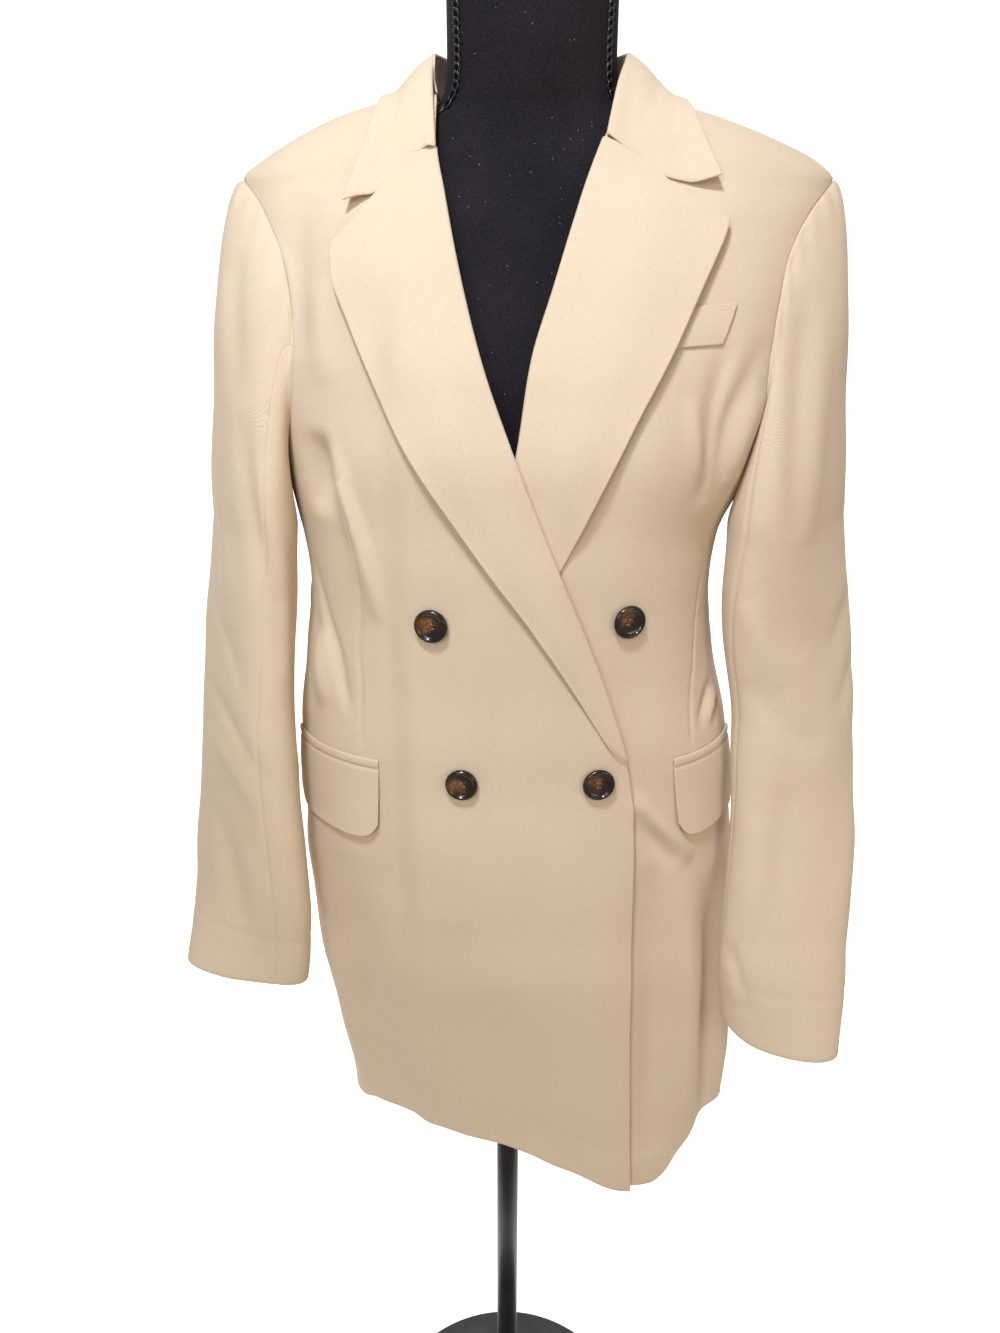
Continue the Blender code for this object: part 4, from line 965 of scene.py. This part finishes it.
def collar_leaf(finish):
    """The fall of the collar, with its crease rolled over the stand."""
    along = np.linspace(-1, 1, 181)
    crease, edge = collar_line(slice(0, 3), along), collar_line(slice(3, 6), along)
    along = along[None, :]
    right, left = along_rows(END_RIGHT, 40), along_rows(END_LEFT, 40)
    down = np.where(along < 0, right[:, :1], left[:, :1])
    end_line = np.where(along < 0, right[:, 1:], left[:, 1:]) * smooth(*END_FADE, np.abs(along))
    points = crease + (edge - crease) * down[..., None]
    rise = COLLAR_SWELL * np.sin(np.pi * down) * (1 - smooth(*END_FADE, np.abs(along)))
    lap = COLLAR_LAP * smooth(0.86, 1.0, np.abs(along)) * (1 - smooth(0.06, 0.42, down))
    points[..., 2] += end_line + rise - lap
    # sewn flat to the lapels at its ends, except the free tips beyond the notches
    sewn_part = 1 - smooth(NOTCH, NOTCH + 0.25, down)
    held = smooth(0.78, 0.96, np.abs(along)) * sewn_part * smooth(0.03, 0.16, down)
    off = COLLAR_STAND_OFF * smooth(0.5, 1.0, down) * (1 - 0.75 * smooth(0.80, 1.0, np.abs(along)))
    outer = rest_on_body(points, LAYER + off + 0.0002, held)
    for _ in range(60):
        beside = (outer[:, :-2] + outer[:, 2:]) / 2
        outer[:, 1:-1] += 0.5 * (beside - outer[:, 1:-1])
    outer = rest_on_body(relaxed(outer, 8), LAYER, 0.0)
    normal = unit(np.cross(np.gradient(outer, axis=1), np.gradient(outer, axis=0)))
    normal *= np.sign((normal * (outer - COLLAR_MIDDLE)).sum(-1, keepdims=True))
    ends_calm = 1 - smooth(0.80, 0.97, np.abs(along))
    outer = outer + normal * (swayed(outer) * 0.5 * ends_calm)[..., None]
    inner = outer - normal * CLOTH

    around, within = rolled(outer[0], normal[0], unit(outer[0] - outer[2]), COLLAR_ROLL_R)
    outer = np.concatenate([np.stack(around, 0), outer], 0)
    inner = np.concatenate([np.stack(within, 0), inner], 0)
    return shell("collar_leaf_cloth", outer, inner, finish)


def collar_stand(finish):
    """The band from the neckline to the crease, inside the leaf."""
    share = np.linspace(-STAND_END, STAND_END, 121)
    crease = collar_line(slice(0, 3), share)
    foot = through(NECK_SEAM, np.abs(share))
    x = foot[:, 0] * np.sign(share)
    right, left, front, back, mid, _ = through(BODY, foot[:, 1]).T
    width = np.where(x < 0, right, left)
    depth = np.where(np.abs(share) < RIDGE, back, -front)
    round_the_ridge = np.clip(np.abs(np.abs(share) - RIDGE) / RIDGE_EASE, 0, 1)
    y = mid + depth * np.sqrt(np.clip(1 - (x / width) ** 2, 0, 1)) * round_the_ridge
    low = np.stack([x, y, foot[:, 1] + SEAM * 3], -1)
    inward = unit(-crease * (1, 1, 0))
    high = crease + inward * (CLOTH + SEAM) - (0, 0, CLOTH)
    up = np.linspace(0, 1, 18)[:, None, None]
    bow = 0.0012 * np.sin(np.pi * up)
    outer = low + (high - low) * up - inward * bow
    return shell("collar_stand_cloth", outer, outer + inward * CLOTH, finish)


# --- sleeves ---
def sleeve_ring(table, side, turn, z):
    out, mid, half, thick, heading = np.moveaxis(through(table, z), -1, 0)
    head = np.radians(heading)
    along = half * power(np.sin(np.radians(turn)), 0.92)
    face = thick * power(np.cos(np.radians(turn)), 0.92)
    reach = out - along * np.sin(head) + face * np.cos(head)
    y = mid - along * np.cos(head) - face * np.sin(head)
    return np.stack([side * reach, y, np.broadcast_to(z, reach.shape)], -1)


def armhole(side, turn):
    up, ahead = np.cos(np.radians(turn)), np.sin(np.radians(turn))
    z = ARM_MID + ARM_INSET * ARM_HALF * power(up, 2 / ARM_ROUND)
    reach = np.where(ahead > 0, ARM_FRONT, ARM_BACK) * ARM_INSET
    return on_body(side * (90 - reach * power(ahead, 2 / ARM_ROUND)), z, -ARM_UNDER)


def sleeve_point(table, side, turn, share):
    """Sleeve surface from the armhole (share 0) over the head to the cuff (share 1)."""
    top, cuff = table[0][0], table[-1][0]
    turn, share = np.broadcast_arrays(np.asarray(turn, float), np.asarray(share, float))
    t = np.clip(share / CAP_SHARE, 0, 1)[..., None]
    start, end = armhole(side, turn), sleeve_ring(table, side, turn, np.full_like(share, top))
    high = (0.5 + 0.5 * np.cos(np.radians(turn)))[..., None]
    out = np.array([side, 0, 0]) * (UNDERARM_OUT + (CAP_OUT - UNDERARM_OUT) * high)
    down = np.array([0, 0, 1]) * (UNDERARM_DOWN + (CAP_DOWN - UNDERARM_DOWN) * high)
    head = (
        (1 - t) ** 3 * start
        + 3 * t * (1 - t) ** 2 * (start + out)
        + 3 * t**2 * (1 - t) * (end + down)
        + t**3 * end
    )
    below = np.clip((share - CAP_SHARE) / (1 - CAP_SHARE), 0, 1)
    arm = sleeve_ring(table, side, turn, top + (cuff - top) * below)
    arm[..., 2] -= CUFF_DIP[side] * below**3 * np.maximum(np.sin(np.radians(turn)), 0) ** 2
    return np.where((share <= CAP_SHARE)[..., None], head, arm)


def sleeve_piece(name, table, side, seams, folds, upper, finish):
    rows = np.linspace(0, 1, SLEEVE_ROWS)
    front = seams[0] + (seams[1] - seams[0]) * rows
    if upper:
        first, last, count = front - (360 - UNDER_SLEEVE), front, UPPER_COLUMNS
    else:
        first, last, count = front, front + UNDER_SLEEVE, UNDER_COLUMNS
    first, last = first + SLEEVE_SEAM_DEG, last - SLEEVE_SEAM_DEG
    turn = first[:, None] + (last - first)[:, None] * close_at_ends(count, 0.5)
    share = np.repeat(rows[:, None], count, 1)

    def place(u, v):
        return sleeve_point(table, side, u, v)

    points = place(turn, share)
    step = np.clip(share, 0.004, 0.996)
    across = place(turn + 0.5, share) - place(turn - 0.5, share)
    down = place(turn, step + 0.004) - place(turn, step - 0.004)
    normal = unit(np.cross(across, down) * side)
    wrapped = np.where(turn > 180, turn - 360, np.where(turn < -180, turn + 360, turn))
    height = folded(points, np.stack([wrapped, share], -1), place, folds)
    height = height * SLEEVE_DEPTH + swayed(points) * 0.8
    # the hem of the cuff, and the ease of the sleeve head into the armhole
    down = (1 - share) * (1 - CAP_SHARE) * 0.60
    height += stitched_line(down, CUFF_LINE)
    ease = np.cos(np.radians(turn)) > -0.2
    near_top = smooth(0.0, 0.02, share) * (1 - smooth(0.02, 0.10, share))
    height += HEAD_EASE * np.sin(np.radians(turn) * HEAD_RIPPLES) * near_top * ease
    height *= smooth(0.0, 0.03, share)
    outer = points + normal * height[..., None]
    dip = edge_dip(outer, "lr", 0.0008, 0.0032) * smooth(0.10, 0.30, share)
    outer = outer - normal * (dip + edge_dip(outer, "b", 0.0004, 0.0030))[..., None]
    return shell(name, outer, outer - normal * CLOTH, finish)


# --- pockets ---
def flap(name, side, finish):
    share = close_at_ends(FLAP_GRID[1])
    angle = side * (POCKET_IN[side] + (POCKET_OUT - POCKET_IN[side]) * share)
    corner = np.abs(2 * share - 1) ** 9
    height = FLAP_H * (1 - FLAP_CORNER * corner)
    rows = close_at_ends(FLAP_GRID[0])[:, None]
    z = POCKET_Z - SEAM - height * rows
    lift = SEAM + CLOTH + FLAP_STAND_OFF * rows**2 * (1 + 0.5 * np.sin(share * 5.0 + 1.0))
    lift = lift + 0.0006 * np.sin(np.pi * rows)
    return laid(name, np.broadcast_to(angle, z.shape), z, lift, finish, dips="b")


def jet(name, side, finish):
    up = np.linspace(0, 1, JET_GRID[0])
    angle = side * np.linspace(POCKET_IN[side], POCKET_OUT, JET_GRID[1])
    angle, z = np.meshgrid(angle, POCKET_Z + SEAM + JET_H * up)
    round_ = 0.0004 * np.sin(np.pi * up)[:, None]
    return laid(name, angle, z, SEAM + CLOTH + round_ + 0 * z, finish)


def breast_welt(finish):
    share = close_at_ends(WELT_GRID[1])
    rows = close_at_ends(WELT_GRID[0])[:, None]
    x = WELT_IN + (WELT_OUT - WELT_IN) * share - WELT_SLANT * rows
    z = WELT_TOP - WELT_RISE * (1 - share) - WELT_H * rows
    lift = SEAM + CLOTH + 0.0005 * np.sin(np.pi * rows) + 0 * x
    return laid("breast_welt_cloth", angle_at(x, z), z, lift, finish)


# --- buttons ---
# Profile of a button: share of its radius, share of its thickness.
BUTTON_PROFILE = (
    (0, 0), (0.72, 0), (0.86, 0.05), (0.95, 0.18), (1, 0.42), (0.995, 0.62),
    (0.965, 0.82), (0.92, 0.95), (0.87, 1), (0.815, 0.985), (0.78, 0.93), (0.755, 0.85),
    (0.72, 0.76), (0.66, 0.68), (0.56, 0.62), (0.4, 0.58), (0.2, 0.565), (0, 0.56),
)
HOLE_R, HOLE_OUT = 0.00095, 0.0027


def button(name, x, z, lift, twist, finish, thread):
    """A dished four-hole button with a rounded rim, sewn on with dark thread."""
    sides = 96
    turn = np.arange(sides) * 2 * math.pi / sides
    ring = along_rows(BUTTON_PROFILE, 60)
    face = ring[:, 1] > 0.5
    inner = np.linspace(0.46, 0.02, 44)
    top = np.stack([inner, 0.60 - 0.045 * (1 - inner / 0.46)], -1)
    keep = ring[~(face & (ring[:, 0] < 0.47))]
    profile = np.concatenate([keep[1:], top])
    points = []
    for radius, height in profile:
        across, ahead = BUTTON_R * radius * np.cos(turn), BUTTON_R * radius * np.sin(turn)
        level = np.full(sides, BUTTON_T * height)
        if height > 0.5 and radius < 0.5:
            for k in range(4):
                at = math.pi / 4 + k * math.pi / 2
                away = np.hypot(across - HOLE_OUT * math.cos(at), ahead - HOLE_OUT * math.sin(at))
                level = level - BUTTON_T * 0.42 * (1 - smooth(HOLE_R * 0.75, HOLE_R * 1.25, away))
        points += list(np.stack([across, ahead, level], -1))
    made = tube(name, points, len(profile), sides, finish, np.array(points)[:, :2])
    place_button(made, x, z, lift, twist)
    sewing = stitches(name.replace("_horn", "_thread"), thread)
    place_button(sewing, x, z, lift, twist)
    return made, sewing


def place_button(made, x, z, lift, twist):
    """Lays a button's mesh on its front, turned by twist."""
    angle, z = angle_at(np.array([[x]]), np.array([[z]])), np.array([[z]])
    lift = lift + body_relief(angle, z)
    spot = on_body(angle, z, lift)[0, 0]
    turned = Vector(body_normal(angle, z)[0, 0]).to_track_quat("Z", "Y").to_matrix()
    basis = np.array(turned)
    c, s = math.cos(twist), math.sin(twist)
    basis = basis @ np.array([[c, -s, 0], [s, c, 0], [0, 0, 1]])
    mesh = made.data
    flat = np.empty(len(mesh.vertices) * 3)
    mesh.vertices.foreach_get("co", flat)
    moved = flat.reshape(-1, 3) @ basis.T + spot
    mesh.vertices.foreach_set("co", moved.ravel())
    mesh.update()


def cord_mesh(name, paths, radius, finish, sides=8):
    """Round threads along paths of points, in one mesh."""
    points, faces = [], []
    for path in paths:
        path = np.asarray(path, float)
        ahead = unit(np.gradient(path, axis=0))
        guide = (0.0, 0.0, 1.0) if abs(ahead[0][2]) < 0.9 else (1.0, 0.0, 0.0)
        side = unit(np.cross(ahead, guide))
        up = np.cross(side, ahead)
        start = len(points)
        for p, a, b in zip(path, side, up):
            for k in range(sides):
                turn = 2 * math.pi * k / sides
                points.append(p + (a * math.cos(turn) + b * math.sin(turn)) * radius)
        faces += tube_faces(len(path), sides, start)
    return built(name, points, faces, finish)


def stitches(name, finish):
    """Two pairs of thread bars through a button's holes."""
    paths = []
    d = HOLE_OUT * math.cos(math.pi / 4)
    for row in (-d, d):
        for offset in (-0.00028, 0.00028):
            t = np.linspace(-1, 1, 11)
            high = BUTTON_T * (0.58 + 0.16 * (1 - t**2)) - BUTTON_T * 0.30 * (np.abs(t) > 0.93)
            paths.append(np.stack([t * d, np.full_like(t, row + offset), high], -1))
    return cord_mesh(name, paths, 0.00024, finish)


# --- dress form ---
def form_surface(turn, z):
    half, front, back, mid = np.moveaxis(through(FORM, z), -1, 0)
    across, ahead = power(np.sin(turn), FORM_SQUARE), power(np.cos(turn), FORM_SQUARE)
    y = mid - np.where(ahead > 0, front, back) * ahead
    return np.stack([half * across, y, np.broadcast_to(z, y.shape)], -1)


FORM_SEAMS = (-50.0, 50.0, 90.0, -90.0, 180.0)     # degrees round the form


def form_torso(finish):
    """The covered torso, with the cover's seams as fine valleys."""
    sides = 144
    rows = np.concatenate([
        [FORM[0][0]] * 3, np.linspace(FORM[0][0], FORM[-1][0], 150)[1:-1], [FORM[-1][0]] * 3,
    ])
    turn = np.radians(np.arange(sides) * 360 / sides)
    points = []
    for k, z in enumerate(rows):
        ring = form_surface(turn, np.full(sides, z))
        inset = {0: 0.02, 1: 0.006, len(rows) - 1: 0.012, len(rows) - 2: 0.003}.get(k, 0.0)
        middle = ring.mean(0)
        away = ring - middle
        length = np.linalg.norm(away, axis=-1, keepdims=True)
        groove = np.zeros(sides)
        for seam in FORM_SEAMS:
            off = (np.degrees(turn) - seam + 180) % 360 - 180
            groove = np.maximum(groove, np.exp(-((off / 1.3) ** 2)))
        ring = ring - away / length * (inset + 0.0007 * groove[:, None])
        points += list(ring)
    return tube("form_torso_jersey", points, len(rows), sides, finish)


LOOPS, LOOPS_TOP, LOOPS_DOWN = 15, 1.508, 0.072     # how many, from where, how far down
LOOP_HIGH, LOOP_WIDE, LOOP_OFF, LOOP_R = 0.0031, 0.055, 0.0009, 0.00085


def chain_stitch(name, turns, finish):
    """Chain-stitched loops down the side of the form's neck."""
    paths = []
    for k in range(LOOPS):
        share = k / (LOOPS - 1)
        z = LOOPS_TOP - LOOPS_DOWN * share
        middle = math.radians(turns[0] + (turns[1] - turns[0]) * share)
        t = np.linspace(0, 2 * math.pi, 15)
        high = z + LOOP_HIGH * np.cos(t)
        wide = middle + LOOP_WIDE * np.sin(t)
        spot = form_surface(wide, high)
        out = unit(spot * (1, 1, 0))
        paths.append(spot + out * (LOOP_OFF + LOOP_OFF * np.cos(t * 0.5)[:, None] ** 2))
    return cord_mesh(name, paths, LOOP_R, finish, 6)


def rounded(radius, z, upper):
    """Profile of a rounded rim: its lower quarter turn, or its upper one."""
    turn, middle = np.linspace(0, np.pi / 2, 7), radius - BEVEL
    if upper:
        return [(middle + BEVEL * math.cos(a), z - BEVEL + BEVEL * math.sin(a)) for a in turn]
    return [(middle + BEVEL * math.sin(a), z + BEVEL - BEVEL * math.cos(a)) for a in turn]


def stand(finish):
    hub_top = BASE_H + HUB_H
    clamp_top = FORM[0][0] - SEAM
    clamp_foot = clamp_top - CLAMP_H
    base = rounded(BASE_R, 0, False) + rounded(BASE_R, BASE_H, True) + [(HUB_R, BASE_H)]
    pole = ((POLE_R, hub_top + SEAM), (POLE_R, clamp_foot - SEAM))
    clamp = rounded(CLAMP_R, clamp_foot, False) + [(CLAMP_R, clamp_top)]
    return {
        "form_base": lathe("form_base_metal", base + rounded(HUB_R, hub_top, True), finish, 144),
        "form_pole": lathe("form_pole_metal", pole, finish, 64),
        "form_clamp": lathe("form_clamp_metal", clamp, finish, 64),
    }


# --- making it all ---
def keep(piece, node, slot):
    """Moves a piece from the tables' middle to the frame's axis, hangs it on the root and hides the
    part's own mesh of its node.
    """
    piece.data.transform(Matrix.Translation((-POLE_X, 0, 0)))
    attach(piece, "root")
    if node:
        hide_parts(node)
    return piece


# Cut of each piece: width and length of the flat cloth, how it is held, what it rests on.
CUTS = {
    "front_right": (0.3, 0.88, "hung", ["form_torso"]),
    "front_left": (0.3, 0.88, "hung", ["form_torso"]),
    "back_right": (0.22, 0.87, "hung", ["form_torso"]),
    "back_left": (0.22, 0.87, "hung", ["form_torso"]),
    "side_right": (0.11, 0.63, "hung", ["form_torso"]),
    "side_left": (0.11, 0.63, "hung", ["form_torso"]),
    "lapel_right": (0.12, 0.46, "folded", ["front_right"]),
    "lapel_left": (0.12, 0.46, "folded", ["front_left"]),
    "collar_leaf": (0.09, 0.42, "folded", ["front_right", "front_left"]),
    "collar_stand": (0.045, 0.32, "folded", ["front_right", "front_left"]),
    "sleeve_upper_right": (0.26, 0.66, "hung", ["form_torso"]),
    "sleeve_under_right": (0.19, 0.56, "hung", ["form_torso"]),
    "sleeve_upper_left": (0.26, 0.69, "hung", ["form_torso"]),
    "sleeve_under_left": (0.19, 0.59, "hung", ["form_torso"]),
    "flap_right": (0.145, 0.06, "hung", ["front_right"]),
    "flap_left": (0.145, 0.06, "hung", ["front_left"]),
    "jet_right": (0.145, 0.01, "laid", ["front_right"]),
    "jet_left": (0.145, 0.01, "laid", ["front_left"]),
    "breast_welt": (0.085, 0.028, "laid", ["front_left"]),
}


def make_blazer(cloth, horn, button_thread):
    made = {}
    made["front_right"] = front_panel("front_right_cloth", -1, RIGHT_EDGE, overlap_lift, cloth)
    made["front_left"] = front_panel("front_left_cloth", 1, LEFT_EDGE, no_lift, cloth)
    made["lapel_right"] = lapel(
        "lapel_right_cloth", RIGHT_LAPEL, RIGHT_EDGE, overlap_lift, all_free, cloth)
    made["lapel_left"] = lapel(
        "lapel_left_cloth", LEFT_LAPEL, LEFT_EDGE, no_lift, past_right_front, cloth)
    for name, side, table, seams, folds in (
        ("right", -1, RIGHT_SLEEVE, RIGHT_SLEEVE_SEAM, RIGHT_SLEEVE_FOLDS),
        ("left", 1, LEFT_SLEEVE, LEFT_SLEEVE_SEAM, LEFT_SLEEVE_FOLDS),
    ):
        made["back_" + name] = back_panel(f"back_{name}_cloth", side, cloth)
        made["side_" + name] = side_panel(f"side_{name}_cloth", side, cloth)
        made["sleeve_upper_" + name] = sleeve_piece(
            f"sleeve_upper_{name}_cloth", table, side, seams, folds, True, cloth)
        made["sleeve_under_" + name] = sleeve_piece(
            f"sleeve_under_{name}_cloth", table, side, seams, folds, False, cloth)
        made["flap_" + name] = flap(f"flap_{name}_cloth", side, cloth)
        made["jet_" + name] = jet(f"jet_{name}_cloth", side, cloth)
    made["collar_leaf"] = collar_leaf(cloth)
    made["collar_stand"] = collar_stand(cloth)
    made["breast_welt"] = breast_welt(cloth)
    for node, (width, length, held, rests_on) in CUTS.items():
        piece = made[node]
        area = sum(face.area for face in piece.data.polygons) / 2
        keep(piece, node, "blazer_cloth")
        # area is None, standing for the whole rectangle, where a piece nearly fills it
        area = None if area > 0.9 * width * length else round(area, 4)

    over = OVERLAP + BUTTON_GAP
    (upper_z, upper_half), (lower_z, lower_half) = BUTTON_ROWS
    for node, x, z, lift, twist in (
        ("button_upper_right", -upper_half, upper_z, over, 0.25),
        ("button_upper_left", upper_half, upper_z, BUTTON_GAP, -0.35),
        ("button_lower_right", -lower_half, lower_z, over, 0.60),
        ("button_lower_left", lower_half, lower_z, over, 0.05),
    ):
        face, sewing = button(node + "_horn", x, z, lift, twist, horn, button_thread)
        keep(face, node, "button_horn")
        keep(sewing, None, "button_horn")


# Lights: name, place, aim, size, watts, colour.
LIGHTS = (
    ("key", (-0.24, -0.86, 2.40), (0.0, -0.05, 1.15), 0.22, 19.5, (0.76, 0.86, 1.0)),
    ("front", (-0.50, -1.60, 1.75), (0, 0, 1.25), 0.6, 9.0, (0.86, 0.93, 1.0)),
    ("side", (1.2, -1.5, 1.4), (0, 0, 1.05), 0.8, 6.0, (1.0, 0.93, 0.84)),
)
COVE_FRONT, COVE_R, COVE_TOP, COVE_HALF = -0.3, 0.9, 4.5, 1.55
EYE, EYE_TILT, LENS = (-0.022 - POLE_X, -0.75, 1.30), 70, 25.25


def stage_set():
    """A white floor that curves up behind, soft lights and the camera."""
    n = Nodes("stage_white")
    spot = n.spot()
    n.link(n.ramp(n.noise(spot, 3.0), ((0.3, (0.90, 0.90, 0.90)), (0.7, (0.92, 0.92, 0.92)))),
           n.shader.inputs["Base Color"])
    n.set(Roughness=0.9)
    n.shader.inputs["Emission Color"].default_value = (1, 1, 1, 1)
    n.shader.inputs["Emission Strength"].default_value = 0.80
    profile = [(COVE_FRONT, 0.0), (COVE_R, 0.0)]
    for a in np.linspace(0.1, np.pi / 2, 12):
        profile.append((COVE_R + COVE_R * math.sin(a), COVE_R - COVE_R * math.cos(a)))
    profile.append((2 * COVE_R, COVE_TOP))
    points = [(x, y, z) for y, z in profile for x in (-COVE_HALF, COVE_HALF)]
    faces = [(a, a + 1, a + 3, a + 2) for a in range(0, 2 * len(profile) - 2, 2)]
    mesh = bpy.data.meshes.new("stage_cove")
    mesh.from_pydata(points, [], faces)
    mesh.shade_smooth()
    mesh.materials.append(n.material)
    placed("stage_cove", mesh)

    world = bpy.data.worlds.new("studio")
    bpy.context.scene.world = world
    world.use_nodes = True
    back = world.node_tree.nodes["Background"]
    back.inputs["Color"].default_value = (1.0, 0.85, 0.71, 1)
    back.inputs["Strength"].default_value = 0.40
    for name, place, aim, size, power_, colour in LIGHTS:
        light = bpy.data.lights.new(name, "AREA")
        light.shape, light.size = "SQUARE", size
        light.energy, light.color = power_, colour
        lamp = placed(name, light, place)
        lamp.rotation_euler = (Vector(aim) - Vector(place)).to_track_quat("-Z", "Y").to_euler()

    bpy.context.scene.view_settings.view_transform = "Standard"

    camera = bpy.data.cameras.new("camera")
    camera.sensor_width, camera.lens = 36.0, LENS
    eye = placed("camera", camera, EYE)
    eye.rotation_euler = (math.radians(EYE_TILT), 0, 0)
    bpy.context.scene.camera = eye


def main():
    cloth, horn = cloth_finish(), horn_finish()
    jersey, metal = jersey_finish(), metal_finish()
    brown = thread_finish("button_thread", (0.12, 0.07, 0.04), (0.50, 0.36, 0.24), 0.45)
    black = thread_finish("form_thread", (0.006, 0.006, 0.008), (0.030, 0.030, 0.034), 0.22)
    make_blazer(cloth, horn, brown)
    keep(form_torso(jersey), "form_torso", "form_jersey")
    keep(chain_stitch("form_stitch_left", (58.0, 54.0), black), None, "form_jersey")
    keep(chain_stitch("form_stitch_right", (-58.0, -54.0), black), None, "form_jersey")
    for node, piece in stand(metal).items():
        keep(piece, node, "stand_metal")
    stage_set()


main()
